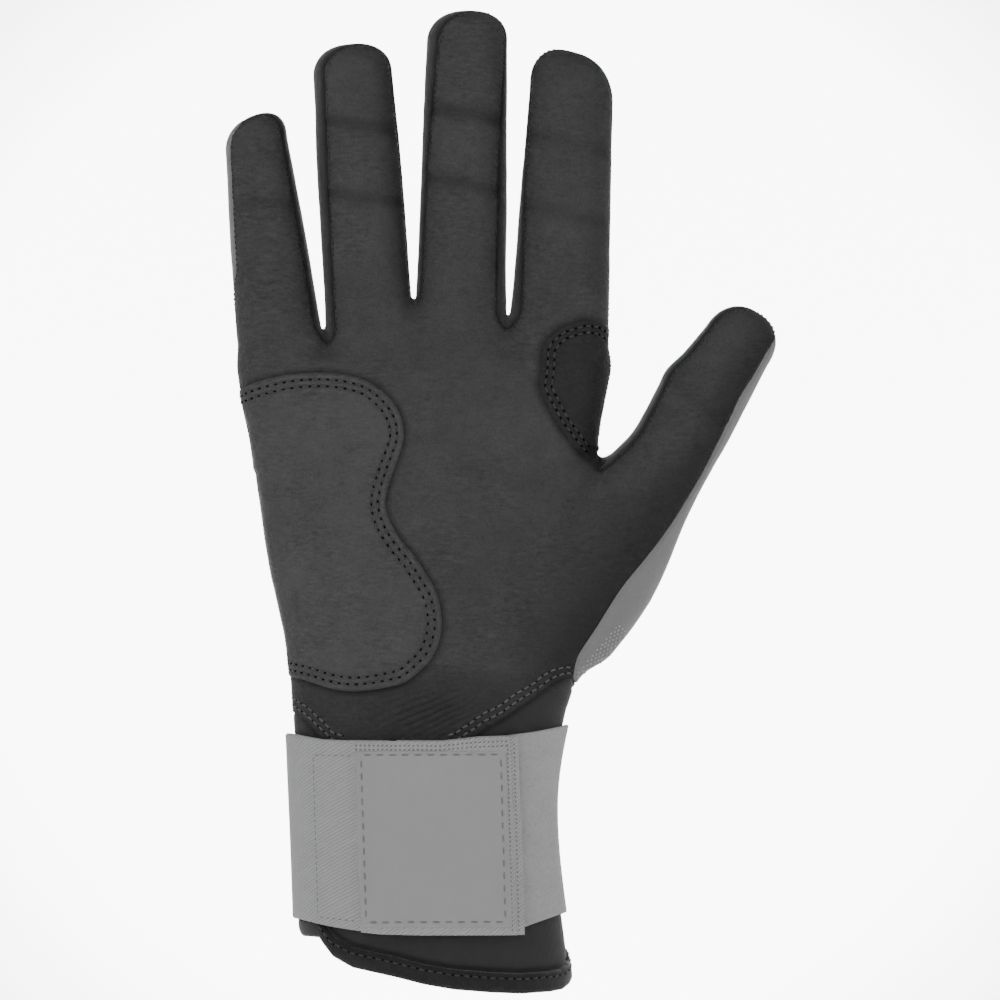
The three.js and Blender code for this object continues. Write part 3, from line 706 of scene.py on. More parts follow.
def line_distance(points, line, closed=False):
    """Signed distance to a line of the photograph, in pixels: positive to its right, or outside it."""
    line = np.asarray(line, float)
    ends = np.concatenate([line, line[:1]]) if closed else line
    best = np.full(len(points), 1e9)
    side = np.zeros(len(points))
    crossings = np.zeros(len(points), int)
    for start, end in zip(ends[:-1], ends[1:]):
        way = end - start
        away = points - start
        t = np.clip(away @ way / (way @ way), 0.0, 1.0)
        off = away - t[:, None] * way
        size = np.hypot(off[:, 0], off[:, 1])
        turn = way[0] * away[:, 1] - way[1] * away[:, 0]
        closer = size < best
        best = np.where(closer, size, best)
        side = np.where(closer, -np.sign(turn), side)
        spans = (start[1] > points[:, 1]) != (end[1] > points[:, 1])
        rise = way[1] if way[1] else 1e-9
        crossings += spans & (points[:, 0] < start[0] + (points[:, 1] - start[1]) / rise * way[0])
    if closed:
        return np.where(crossings % 2 == 1, -best, best)
    return best * side


def curved(line, steps=4):
    """A smooth line through the points of an open line."""
    line = np.asarray(line, float)
    places = np.concatenate([[0.0], np.cumsum(np.hypot(*np.diff(line, axis=0).T))])
    at = np.linspace(0.0, places[-1], steps * len(line))
    return np.stack([smooth_line(places, line[:, k], at) for k in range(2)], 1)


@lru_cache(maxsize=None)
def noise_grid(seed, size=24):
    return np.random.default_rng(seed).uniform(-1.0, 1.0, (size, size, size))


def noise(points, scale, seed):
    """Smooth noise from -1 to 1 that repeats only after many of its lumps."""
    grid = noise_grid(seed)
    place = points / scale
    cell = np.floor(place).astype(int)
    t = smoothstep(place - cell)
    total = 0.0
    for corner in range(8):
        bits = np.array([corner >> k & 1 for k in range(3)])
        index = (cell + bits) % len(grid)
        weight = np.prod(np.where(bits, t, 1.0 - t), axis=1)
        total = total + weight * grid[index[:, 0], index[:, 1], index[:, 2]]
    return total


@lru_cache(maxsize=None)
def bare_hand(step):
    """The hand's whole surface, from the wrist opening to the fingertips."""
    low = np.array([-56.0, -26.0, -8.0])
    high = np.array([98.0, 24.0, 264.0])
    sizes = np.ceil((high - low) / step).astype(int)
    axes = [low[k] + step * np.arange(sizes[k]) for k in range(3)]
    grid = np.stack(np.meshgrid(*axes, indexing="ij"), -1)
    values = np.empty(sizes, np.float32)
    for k in range(0, sizes[2], 32):
        values[:, :, k:k + 32] = hand_distance(grid[:, :, k:k + 32])
    volume = openvdb.FloatGrid(3.0)
    volume.copyFromArray(values)
    points, quads = volume.convertToQuads(isovalue=0.0)
    points = low + step * points.astype(float)
    faces = np.concatenate([quads[:, [0, 1, 2]], quads[:, [0, 2, 3]]]).astype(int)
    made = Patch(settled(points), faces).tidy()
    centre = np.array([0.0, 0.0, 60.0])
    first = made.points[made.faces[:, 0]]
    near = np.abs(first[:, 2] - centre[2]) < 3.0
    if ((first[near] - centre) * made.face_normals()[near]).sum() < 0.0:
        made.faces = made.faces[:, ::-1]
    return made


def depth_inside(wide, thick, inside):
    """Depth of a finger's front surface, so far inside its silhouette."""
    ratio = np.clip((wide - inside) / wide, 0.0, 1.0)
    return -thick * (1.0 - ratio ** ROUNDNESS) ** (1.0 / ROUNDNESS)


def seam_depths(limb, across, height):
    """Where the front seam lies, deep, and how wide the strip behind it is."""
    wide, thick = limb.half_sizes(across, height)
    shares = np.array([0.0, 0.5, 1.0]) * limb.length
    values = []
    for inset, kind in zip(SEAM_INSETS[limb.name], (LEFT_KIND[limb.name], RIGHT_KIND[limb.name])):
        seam = depth_inside(wide, thick, np.interp(height, shares, inset))
        strip = STRIP_EDGE - seam
        if kind == "front":
            rise = eased(height, *FRONT_SETTLES)
            seam, strip = SEAM_PLANE + (STRIP_EDGE - SEAM_PLANE) * rise, 0.0 * seam
        if kind == "back":
            strip = 0.0 * seam
            seam = SEAM_PLANE + (seam - SEAM_PLANE) * eased(height, *BACK_SETTLES)
        values.append((seam, strip))
    right = eased(across / wide, -0.7, 0.7)
    seam, strip = (left * (1.0 - right) + other * right for left, other in zip(*values))
    end = eased(height - limb.length, *STRIP_NARROWS)
    narrow = np.minimum(strip, 1.0 - seam)
    return seam, strip * (1.0 - end) + narrow * end


def thumb_seam(limb, places, value, strip, hand_seam):
    """The thumb's seam: it follows the hand's own below, and the leather's edge on the outer side."""
    across, deep, height = places
    wide, thick = limb.half_sizes(across, height)
    right = eased(across, *THUMB_SIDES)
    inside = np.maximum(smooth_line(*np.array(THUMB_EDGE_INSETS).T, height), 0.0)
    edge = np.maximum(hand_seam, deep - depth_inside(wide, thick, inside))
    value = value * (1.0 - right) + edge * right
    settle = eased(height, *THUMB_SEAM_SETTLES)
    value = value * settle + hand_seam * (1.0 - settle)
    return value, strip * (1.0 - right) * eased(height, *THUMB_STRIP_STARTS)


def hem_bottom(points, spread):
    """Height of the hem's lower edge: as photographed in front, a slanted line behind."""
    column = photo_column(points[:, 0], points[:, 1])
    front = photo_height(row_of(HEM_BOTTOM, column), points[:, 1])
    left, right = HEM_SIDES
    rear = left + (right - left) * (points[:, 0] + HEM_HALF) / (2.0 * HEM_HALF)
    behind = eased(points[:, 1] - SEAM_PLANE, -spread, spread)
    return front * (1.0 - behind) + rear * behind


@lru_cache(maxsize=None)
def marked_hand(step, seam_width):
    """The hand's surface with the fields that its panels are cut by."""
    hand = bare_hand(step)
    points = hand.points
    pixels = photo(points)
    nearest = np.argmin(part_distances(points), axis=0)
    thumb_side = line_distance(pixels, curved(THUMB_EDGE)) * PIXEL
    hand_seam = np.maximum(thumb_side, points[:, 1] - SEAM_PLANE)
    front = hand_seam.copy()
    strip = np.zeros(len(points))
    root = np.full(len(points), -FAR)
    middle = np.full(len(points), -FAR)
    for i, name in enumerate(LIMBS):
        limb = limbs()[name]
        own = nearest == i
        places = limb.local(points[own])
        across, deep, height = places
        seam, wide = seam_depths(limb, across, height)
        value = deep - seam
        if name == "thumb":
            value, wide = thumb_seam(limb, places, value, wide, hand_seam[own])
        front[own], strip[own] = value, wide
        root[own] = height - ROOT_CUT
        middle[own] = height - limb.joint * UPPER_CUT
    hand.fields = {"front": front, "strip": strip, "root": root, "middle": middle, "part": nearest * 1.0}
    hand.smoothed("front", FRONT_SMOOTHING)
    drawn = eased(pixels[:, 1], *DRAWN_ROWS) * eased(points[:, 0], *DRAWN_ACROSS)
    hand.fields["front"] += (front - hand.fields["front"]) * drawn
    hand.smoothed("strip", STRIP_SMOOTHING)
    hand.fields["back"] = hand.fields["front"] - hand.fields["strip"]
    palm_end = (row_of(PALM_EDGE, pixels[:, 0]) - pixels[:, 1]) * PIXEL
    rise = BACK_SEAM_RISE * eased(points[:, 0], *BACK_SEAM_RISES_BETWEEN)
    back_end = points[:, 2] - (BACK_SEAM + rise)
    behind = eased(points[:, 1] - SEAM_PLANE, -1.0, 1.0)
    hand.fields["cuff"] = palm_end * (1.0 - behind) + back_end * behind
    hand.fields["hem"] = points[:, 2] - hem_bottom(points, 1.0)
    for name, outline, reach in (("pad", PAD_OUTLINE, PAD_BACK), ("patch", PATCH_OUTLINE, PATCH_BACK)):
        outside = line_distance(pixels, curved(outline), closed=True) * PIXEL
        hand.fields[name] = np.maximum(outside, (points[:, 1] - reach) * SIDE_SHARE)

    def limit(patch):
        near = np.min([np.abs(patch.distance(name, 0.2)) for name in ("front", "back", "cuff")], axis=0)
        size = FINE_EDGE + EDGE_GROWTH * np.maximum(np.minimum(near, 9.0) - seam_width, 0.0)
        return np.where(above_strap(patch.points) > 0.15, np.minimum(size, FOLD_EDGE), size)

    made = hand.refined(limit)
    made.points = settled(made.points)
    made.fields["out"] = slope_at(made.points)
    return made


def seam_groove(patch, name, width, depth):
    """How far a seam draws the surface in."""
    return -depth * hill(patch.distance(name, 0.25), 0.5 * width)


def above_strap(points):
    """How near points lie to the creased leather above the middle of the strap."""
    away = photo(points) - WRIST_MIDDLE
    return hill(away[:, 0], WRIST_REACH[0]) * hill(away[:, 1], WRIST_REACH[1]) * (points[:, 1] < 0.0)


def wrist_folds(points):
    """Fine folds that run up towards the thumb, from -1 to 1."""
    lines = photo(points) @ np.array(WRIST_WAY) + WRIST_WAVER * noise(points, 7.0, 5)
    return above_strap(points) * np.sin(lines * 2.0 * np.pi / WRIST_PITCH)


def fold_distance(points, name, place):
    """Which points lie on a finger's front, and how far along it they are from a fold."""
    limb = limbs()[name]
    across, deep, height = limb.local(points)
    own = smoothstep((limb.widths[0] * 0.62 - np.abs(across)) / 2.0) * eased(-deep, 1.0, 5.0)
    return own, height - place + FOLD_SLANT * across + FOLD_WAVER * noise(points, 6.0, 7)


def creases(patch):
    """Folds of the leather: fine ones above the strap, shallow ones at the finger joints."""
    points = patch.points
    calm = 1.0 - LUMPS_CALM[0] * hill(patch.fields["front"], LUMPS_CALM[1])
    total = sum(high * noise(points, size, seed) for high, size, seed in LUMPS) * calm
    total = total + WRIST_FOLD * wrist_folds(points)
    for name, place, depth in FINGER_FOLDS:
        own, away = fold_distance(points, name, place)
        total = total - own * depth * (hill(away, FOLD_WIDTH) - FOLD_SWELL * hill(away, FOLD_SWELL_WIDTH))
    return total


def leather_painted_shade(patch):
    """Painted shade on the leather: darker in seams and folds, beside pad and patch, and where the hand
    turns away.
    """
    points, fields = patch.points, patch.fields
    shade = np.zeros(len(points))
    for name, reach, most in SEAM_SHADE:
        shade = np.maximum(shade, most * hill(patch.distance(name, 0.3), reach))
    for name in ("pad", "patch"):
        beside = np.maximum(patch.distance(name, 0.6, 1.6), 0.0)
        shade = np.maximum(shade, OVERLAY_SHADE * hill(beside, OVERLAY_SHADE_REACH))
    folds = np.zeros(len(points))
    for name, place, depth in FINGER_FOLDS:
        own, away = fold_distance(points, name, place)
        folds = np.maximum(folds, own * FOLD_SHADE * depth * hill(away, FOLD_SHADE_REACH))
    # Painted shade on each finger's far side, where it turns away from the light
    for i, name in enumerate(FINGERS):
        across, _, height = limbs()[name].local(points)
        wide, _ = limbs()[name].half_sizes(across, height)
        own = (fields["part"] == i) * eased(height, 0.0, 8.0)
        folds = folds + FAR_SIDE_SHADE * own * eased(across / wide, *FAR_SIDE)
    folds = folds + WRIST_FOLD_SHADE * np.maximum(-wrist_folds(points), 0.0)
    # Painted shadow under the leather's edge above the cuff
    edge = CUFF_EDGE_SHADE * hill(fields["cuff"] - CUFF_EDGE_SHADE_PLACE, CUFF_EDGE_SHADE_REACH)
    # Painted shade where the palm turns away from the light, towards the thumb's edge and above the strap
    pixels = photo(points)
    inside = np.maximum(-line_distance(pixels, curved(THUMB_EDGE)) * PIXEL, 0.0)
    reach = MOUND_REACH[0] + (MOUND_REACH[1] - MOUND_REACH[0]) * eased(pixels[:, 1], *MOUND_ROWS)
    mound = MOUND_SHADE * hill(inside, reach)
    low = LOW_SHADE * eased(pixels[:, 1], *LOW_ROWS)
    turned = np.maximum(mound, low) * (points[:, 1] < FRONT_ENDS)
    return np.clip(shade + folds + edge + turned, 0.0, MOST_SHADE)


@lru_cache(maxsize=None)
def finished_hand(step, seam_width, seam_depth):
    """The marked surface with its seams drawn in, its folds, and its painted shade."""
    hand = marked_hand(step, seam_width)
    made = Patch(hand.points, hand.faces, hand.fields)
    high = made.fields["cuff"] > -6.0
    sunk = np.min([seam_groove(made, name, seam_width, seam_depth) for name in ("front", "back")], axis=0)
    made.points = made.points + made.fields["out"] * ((sunk + creases(made)) * high)[:, None]
    made.fields["out"] = made.normals()
    # Painted shade of seams, folds, edges and where the hand turns away
    made.fields["shade"] = leather_painted_shade(made) * high
    return made


def closed_shell(patch, thickness):
    """A panel as a closed body: its face, an inner face and the rim between them."""
    top, out = patch.points, patch.fields["out"]
    sides = np.concatenate([patch.faces[:, [0, 1]], patch.faces[:, [1, 2]], patch.faces[:, [2, 0]]])
    _, first, count = np.unique(np.sort(sides, axis=1), axis=0, return_index=True, return_counts=True)
    rim = sides[first[count == 1]]
    n = len(top)
    walls = np.concatenate([
        np.stack([rim[:, 1], rim[:, 0], rim[:, 0] + n], 1),
        np.stack([rim[:, 1], rim[:, 0] + n, rim[:, 1] + n], 1),
    ])
    faces = np.concatenate([patch.faces, patch.faces[:, ::-1] + n, walls])
    return np.concatenate([top, top - out * thickness]), faces, np.concatenate([out, -out])


def add_mesh(name, points, faces, material, normals=None, uv=None, shade=None):
    """A mesh object from points in millimetres."""
    mesh = bpy.data.meshes.new(name)
    rows = faces.tolist() if isinstance(faces, np.ndarray) else faces
    mesh.from_pydata((np.asarray(points) / METRE).tolist(), [], rows)
    mesh.validate(clean_customdata=False)
    mesh.update()
    if uv is not None:
        layer = mesh.uv_layers.new(name="cloth")
        corner = np.zeros(len(mesh.loops), int)
        mesh.loops.foreach_get("vertex_index", corner)
        layer.data.foreach_set("uv", np.asarray(uv, np.float32)[corner].ravel())
    if shade is not None:
        mesh.attributes.new("shade", "FLOAT", "POINT").data.foreach_set("value", shade.astype(np.float32))
    mesh.polygons.foreach_set("use_smooth", [True] * len(mesh.polygons))
    if normals is not None:
        mesh.normals_split_custom_set_from_vertices(np.asarray(normals).tolist())
    mesh.materials.append(material)
    made = bpy.data.objects.new(name, mesh)
    bpy.context.scene.collection.objects.link(made)
    return made


def hold(piece, body, nodes=()):
    """A piece that rides on one body, and stands for its nodes."""
    if body:
        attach(piece, body)
    if nodes:
        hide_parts(*nodes)
    return piece


def bend_with(piece, name, part):
    """A finger's piece, its transform baked into its mesh for either segment."""
    limb = limbs()[name]
    if part == "lower":
        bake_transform(piece)
    else:
        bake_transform(piece)


# Materials

class Shader:
    """Short ways to lay out the nodes of one material."""

    def __init__(self, name, colour, roughness, sheen=0.0, specular=0.5):
        self.material = bpy.data.materials.get(name) or bpy.data.materials.new(name)
        self.material.use_nodes = True
        self.nodes, self.links = self.material.node_tree.nodes, self.material.node_tree.links
        self.nodes.clear()
        self.output = self.nodes.new("ShaderNodeOutputMaterial")
        self.surface = self.nodes.new("ShaderNodeBsdfPrincipled")
        self.links.new(self.surface.outputs[0], self.output.inputs[0])
        self.surface.inputs["Roughness"].default_value = roughness
        self.surface.inputs["Specular IOR Level"].default_value = specular
        if sheen:
            self.surface.inputs["Sheen Weight"].default_value = sheen
            self.surface.inputs["Sheen Roughness"].default_value = 0.5
        self.colour = tuple(colour)
        self.place = self.nodes.new("ShaderNodeTexCoord")

    def node(self, kind, inputs=(), **settings):
        """The outputs of a new node with its settings, and its inputs set or linked."""
        made = self.nodes.new(f"ShaderNode{kind}")
        for name, value in settings.items():
            setattr(made, name, value)
        for name, value in dict(inputs).items():
            if isinstance(value, bpy.types.NodeSocket):
                self.links.new(value, made.inputs[name])
            else:
                made.inputs[name].default_value = value
        return made.outputs

    def mapped(self, scale=(1.0, 1.0, 1.0), turn=(0.0, 0.0, 0.0), output="Object"):
        place = self.place.outputs[output]
        return self.node("Mapping", {"Scale": scale, "Rotation": turn, "Vector": place})[0]

    def noise(self, size, detail=3.0, place=None, roughness=0.55):
        place = place or self.place.outputs["Object"]
        inputs = {"Scale": METRE / size, "Detail": detail, "Roughness": roughness, "Vector": place}
        return self.node("TexNoise", inputs)["Fac"]

    def cells(self, size):
        inputs = {"Scale": METRE / size, "Vector": self.place.outputs["Object"]}
        return self.node("TexVoronoi", inputs)["Distance"]

    def waves(self, size, place, direction="X", distortion=0.0, detail_scale=1.0):
        inputs = {
            "Scale": METRE / size * math.pi / 10.0, "Distortion": distortion, "Detail": 1.0,
            "Detail Scale": detail_scale, "Vector": place,
        }
        return self.node("TexWave", inputs, wave_profile="SIN", bands_direction=direction)["Fac"]

    def math(self, kind, a, b=0.0):
        return self.node("Math", {0: a, 1: b}, operation=kind)[0]

    def span(self, value, low, high, from_low=0.0, from_high=1.0):
        limits = {"From Min": from_low, "From Max": from_high, "To Min": low, "To Max": high}
        return self.node("MapRange", {**limits, "Value": value})[0]

    def paint(self, amount):
        """Base colour, darker or lighter by an amount round one, and darker by the painted shade that the
        mesh's shade attribute holds.
        """
        painted_shade_amount = self.node("Attribute", attribute_name="shade")["Fac"]
        amount = self.math("MULTIPLY", amount, self.math("SUBTRACT", 1.0, painted_shade_amount))
        tint = self.node("CombineColor", {k: amount for k in range(3)})[0]
        inputs = {"Factor": 1.0, "A": (*self.colour, 1.0), "B": tint}
        mixed = self.node("Mix", inputs, data_type="RGBA", blend_type="MULTIPLY")["Result"]
        self.links.new(mixed, self.surface.inputs["Base Color"])

    def bump(self, height, depth, strength=1.0):
        normal = self.surface.inputs["Normal"]
        inputs = {"Distance": depth / METRE, "Strength": strength, "Height": height}
        if normal.links:
            inputs["Normal"] = normal.links[0].from_socket
        self.links.new(self.node("Bump", inputs)[0], normal)

    def finish(self, tones, bumps=(), rough=None):
        """Colour from the sum of its tones, each a texture with its span, then roughness and bumps."""
        total = self.span(*tones[0])
        for tone in tones[1:]:
            total = self.math("ADD", total, self.span(*tone) if len(tone) > 1 else tone[0])
        self.paint(total)
        if rough:
            self.links.new(self.span(*rough), self.surface.inputs["Roughness"])
        for height, *size in bumps:
            self.bump(height, *size)
        return self.material


def leather(name, colour):
    """Soft matt sheepskin: pebbled grain, fine pores, stretched wrinkles and lighter rubbed places."""
    skin = Shader(name, colour, 0.6, specular=0.2)
    pebbles = skin.cells(0.55)
    pores = skin.noise(0.22, 2.0)
    drawn = skin.noise(1.2, 4.0, skin.mapped(scale=(0.45, 1.0, 1.6), turn=(0.0, 0.25, 0.0)))
    slack = skin.noise(4.2, 5.0, skin.mapped(scale=(0.55, 1.0, 1.5), turn=(0.0, -0.5, 0.0)), 0.7)
    clouds = skin.noise(26.0)
    rubbed = skin.noise(7.0, 5.0, roughness=0.7)
    places = skin.span(skin.noise(17.0, 2.0), 0.25, 1.0, 0.4, 0.6)
    wrinkles = skin.math("MULTIPLY", skin.span(drawn, -0.5, 0.5), places)
    return skin.finish(
        [(clouds, 0.75, 1.25), (rubbed, -0.22, 0.22), (pebbles, 0.12, -0.18), (wrinkles,)],
        [(pebbles, 0.11, 0.8), (pores, 0.03, 0.5), (wrinkles, 0.5), (slack, 0.7, 0.7)],
        (rubbed, 0.48, 0.66),
    )


def knit(name, colour, stitch=0.55, depth=0.06, fleck=0.12, sheen=0.3):
    """Stretch knit: small loops in rows."""
    cloth = Shader(name, colour, 0.8, sheen=sheen, specular=0.25)
    rows = cloth.waves(stitch, cloth.place.outputs["Object"], "Z")
    columns = cloth.waves(stitch * 0.8, cloth.mapped(turn=(0.0, 0.0, 0.6)))
    loops = cloth.math("MULTIPLY", rows, columns)
    lint = cloth.noise(0.9, 4.0)
    clouds = cloth.noise(18.0, 2.0)
    return cloth.finish(
        [(clouds, 0.9, 1.1), (lint, -fleck, fleck), (loops, -0.10, 0.12)],
        [(loops, depth), (lint, 0.04, 0.5)],
    )


def back_cloth(name, colour):
    """Matt synthetic leather of the back: fine pebble and soft sheen."""
    cloth = Shader(name, colour, 0.6, sheen=0.15, specular=0.3)
    pebbles = cloth.cells(0.75)
    fine = cloth.noise(0.35)
    clouds = cloth.noise(22.0)
    return cloth.finish(
        [(clouds, 0.95, 1.05), (pebbles, 0.04, -0.07), (fine, -0.05, 0.05)],
        [(pebbles, 0.05, 0.7), (fine, 0.02, 0.4)],
        (clouds, 0.52, 0.68),
    )


def twill_elastic(name, colour):
    """Woven elastic with a rib that runs up to the right."""
    cloth = Shader(name, colour, 0.85, sheen=0.25, specular=0.2)
    turned = lambda angle: cloth.mapped(turn=(0.0, 0.0, math.radians(angle)), output="UV")
    ribs = cloth.waves(0.78, turned(-35.0), "Y", distortion=0.4, detail_scale=2.0)
    picks = cloth.waves(0.62, turned(40.0))
    lint = cloth.noise(0.6, 4.0)
    weave = cloth.math("ADD", cloth.math("MULTIPLY", ribs, 0.7), cloth.math("MULTIPLY", picks, 0.3))
    return cloth.finish(
        [(weave, 0.76, 1.12), (lint, -0.05, 0.05), (cloth.noise(15.0), -0.03, 0.03)],
        [(weave, 0.2, 0.9), (lint, 0.03, 0.5)],
    )


def loop_pile(name, colour):
    """Brushed loop pile: soft, uneven and napped."""
    cloth = Shader(name, colour, 0.95, sheen=0.4, specular=0.1)
    tufts = cloth.noise(0.8, 6.0, roughness=0.75)
    hairs = cloth.noise(0.9, 3.0, cloth.mapped(scale=(0.3, 0.3, 1.6)))
    return cloth.finish(
        [(tufts, 0.62, 1.3), (cloth.noise(6.0, 4.0), -0.08, 0.08), (hairs, -0.1, 0.1)],
        [(tufts, 0.45, 0.9), (hairs, 0.2, 0.7)],
    )


def tab_face(name, colour):
    """Smooth bonded face of the tab: very fine pebble, nearly even."""
    cloth = Shader(name, colour, 0.62, sheen=0.1, specular=0.3)
    pebble = cloth.cells(0.4)
    clouds = cloth.noise(14.0)
    return cloth.finish(
        [(clouds, 0.97, 1.03), (pebble, 0.02, -0.03)],
        [(pebble, 0.02, 0.5), (cloth.noise(0.25, 2.0), 0.01, 0.4)],
        (clouds, 0.55, 0.68),
    )


def ribbed_binding(name, colour):
    """Fine ribbed tape of hem and edges."""
    cloth = Shader(name, colour, 0.7, sheen=0.3, specular=0.3)
    ribs = cloth.waves(0.42, cloth.mapped(output="UV"), distortion=0.2)
    lint = cloth.noise(0.6)
    return cloth.finish([(ribs, 0.82, 1.15), (lint, -0.12, 0.12)], [(ribs, 0.06, 0.8), (lint, 0.03, 0.5)])


def sewing_thread(name, colour):
    """Twisted thread."""
    cloth = Shader(name, colour, 0.6, sheen=0.2, specular=0.4)
    twist = cloth.waves(0.45, cloth.mapped(turn=(0.4, 0.7, 0.3)))
    return cloth.finish([(twist, 0.75, 1.15), (cloth.noise(0.3), -0.1, 0.1)], [(twist, 0.05)])


def needle_hole_shade(name="needle_hole_shades", value=0.004):
    """The painted shade inside a needle hole."""
    shade = Shader(name, (value, value, value), 1.0, specular=0.0)
    return shade.finish([(shade.noise(0.4, 2.0), 0.7, 1.2)])


def glowing_backdrop_paper(name):
    """Matt studio paper that glows with painted light, brightest behind the glove."""
    paper = Shader(name, (0.62, 0.62, 0.62), 0.95, specular=0.1)
    paper.paint(paper.span(paper.noise(2.0), 0.995, 1.0))
    # Painted light: the paper glows by itself, most behind the glove
    places = {0: paper.place.outputs["Object"], 1: (0.02, 1.6, 0.13)}
    away = paper.node("VectorMath", places, operation="DISTANCE")["Value"]
    glow = paper.span(away, 8.5, 0.3, 0.5, 0.85)
    paper.surface.inputs["Emission Color"].default_value = (1.0, 1.0, 1.0, 1.0)
    paper.links.new(glow, paper.surface.inputs["Emission Strength"])
    return paper.material


# Stitches

def contour(patch, name, level):
    """Lines on a patch along which a field has a level, with the outward directions there."""
    value = patch.fields[name] - level
    value = np.where(np.abs(value) < 1e-6, 1e-6, value)
    faces = patch.faces[np.abs(np.sign(value)[patch.faces].sum(1)) < 3]
    links = {}
    for face in faces.tolist():
        ends = []
        for i, j in ((face[0], face[1]), (face[1], face[2]), (face[2], face[0])):
            if value[i] * value[j] < 0.0:
                ends.append((min(i, j), max(i, j)))
        if len(ends) == 2:
            links.setdefault(ends[0], []).append(ends[1])
            links.setdefault(ends[1], []).append(ends[0])
    lines, seen = [], set()
    starts = [key for key in links if len(links[key]) == 1] + list(links)
    for start in starts:
        if start in seen:
            continue
        chain, here = [start], start
        seen.add(start)
        while True:
            onward = [key for key in links[here] if key not in seen]
            if not onward:
                break
            here = onward[0]
            seen.add(here)
            chain.append(here)
        if len(chain) > 2 and chain[0] in links[chain[-1]]:
            chain.append(chain[0])
        keys = np.array(chain)
        low, high = value[keys[:, 0]], value[keys[:, 1]]
        points, fields = patch.mixed(keys[:, 0], keys[:, 1], low / (low - high))
        lines.append((points, fields))
    return lines


def spaced(points, values, pitch):
    """Evenly spaced places on a line, with the values there and the direction of the line."""
    size = np.linalg.norm(np.diff(points, axis=0), axis=1)
    along = np.concatenate([[0.0], np.cumsum(size)])
    count = int(along[-1] / pitch)
    if count < 2:
        return None
    at = (np.arange(count) + 0.5) * along[-1] / count
    pick = lambda data, where: np.stack([np.interp(where, along, each) for each in data.T], 1)
    ahead = pick(points, at + 0.25 * pitch) - pick(points, at - 0.25 * pitch)
    return pick(points, at), unit(pick(values, at)), unit(ahead)


def grains(places, normals, ahead, size, lift):
    """A small rounded grain at each place: long, wide and high as its size says."""
    long, wide, high = size
    rings, sides = 4, 6
    shape = []
    for i in range(1, rings):
        polar = math.pi * i / rings
        for j in range(sides):
            turn = 2.0 * math.pi * j / sides
            radius = math.sin(polar) ** 0.6
            shape.append((-math.cos(polar), radius * math.cos(turn), radius * math.sin(turn)))
    shape += [(-1.0, 0.0, 0.0), (1.0, 0.0, 0.0)]
    shape = np.array(shape)
    faces = []
    first, last = len(shape) - 2, len(shape) - 1
    for j in range(sides):
        after = (j + 1) % sides
        faces.append((first, after, j))
        top = (rings - 2) * sides
        faces.append((last, top + j, top + after))
        for i in range(rings - 2):
            a, b = i * sides, (i + 1) * sides
            faces += [(a + j, a + after, b + after), (a + j, b + after, b + j)]
    faces = np.array(faces)
    across = unit(np.cross(normals, ahead))
    scaled = shape * np.array([long, wide, high]) / 2.0
    points = (
        places[:, None]
        + scaled[None, :, 0:1] * ahead[:, None]
        + scaled[None, :, 1:2] * across[:, None]
        + (scaled[None, :, 2:3] + lift) * normals[:, None]
    )
    offsets = (np.arange(len(places)) * len(shape))[:, None, None]
    return points.reshape(-1, 3), (faces[None] + offsets).reshape(-1, 3)


def stitch_lines(lines, pitch, thread, lift=0.0, long=0.62, slant=0.0, hole=1.0):
    """Threads along lines, and dark grains of painted shade for the needle holes between them."""
    threads, hole_shades = [], []
    for points, fields in lines:
        found = spaced(points, fields["out"], pitch)
        if found is None:
            continue
        places, normals, ahead = found
        turned = unit(ahead + slant * np.cross(normals, ahead))
        threads.append(grains(places, normals, turned, (long * pitch, thread, thread * 0.9), lift))
        between = places + ahead * pitch * 0.5
        pierced = np.array([2.1, 1.25, 0.95]) * thread * hole
        hole_shades.append(grains(between, normals, ahead, pierced, lift))
    return joined(threads), joined(hole_shades)


def kept_stretches(lines, keep):
    """The stretches of lines where a test of their points holds."""
    made = []
    for points, fields in lines:
        good = np.concatenate([[False], keep(points), [False]])
        starts = np.flatnonzero(~good[:-1] & good[1:])
        ends = np.flatnonzero(good[:-1] & ~good[1:])
        for start, end in zip(starts, ends):
            if end - start > 2:
                kept = {name: values[start:end] for name, values in fields.items()}
                made.append((points[start:end], kept))
    return made


def joined(parts):
    points, faces, start = [], [], 0
    for some, triangles in parts:
        points.append(some)
        faces.append(triangles + start)
        start += len(some)
    return np.concatenate(points), np.concatenate(faces)


# Pieces wrapped round the wrist

def wrap_turn(across, height, offset):
    """The turn round the wrist at which the front lies so far across."""
    wide, _, side = hand_sizes(height)
    share = np.clip((across - side) / (wide / 2.0 + offset), -1.0, 1.0)
    return -np.arccos(np.sign(share) * np.abs(share) ** (ROUNDNESS / 2.0))


def wrap_points(turn, height, offset):
    """Points round the wrist at an offset from the cuff's surface."""
    wide, deep, side = hand_sizes(height)
    power = 2.0 / ROUNDNESS
    cos, sin = np.cos(turn), np.sin(turn)
    x = side + (wide / 2.0 + offset) * np.sign(cos) * np.abs(cos) ** power
    y = (deep / 2.0 + offset) * np.sign(sin) * np.abs(sin) ** power
    return np.stack([x, y, height], -1)


def eased_steps(size, step, edge):
    """Steps across a length, closer together at both ends."""
    ends = [share * edge for share in (0.0, 0.12, 0.3, 0.6, 1.0)]
    middle = np.linspace(edge, size - edge, max(int((size - 2 * edge) / step), 2) + 1)
    return np.concatenate([ends[:-1], middle, [size - e for e in ends[:-1]][::-1]]) / size


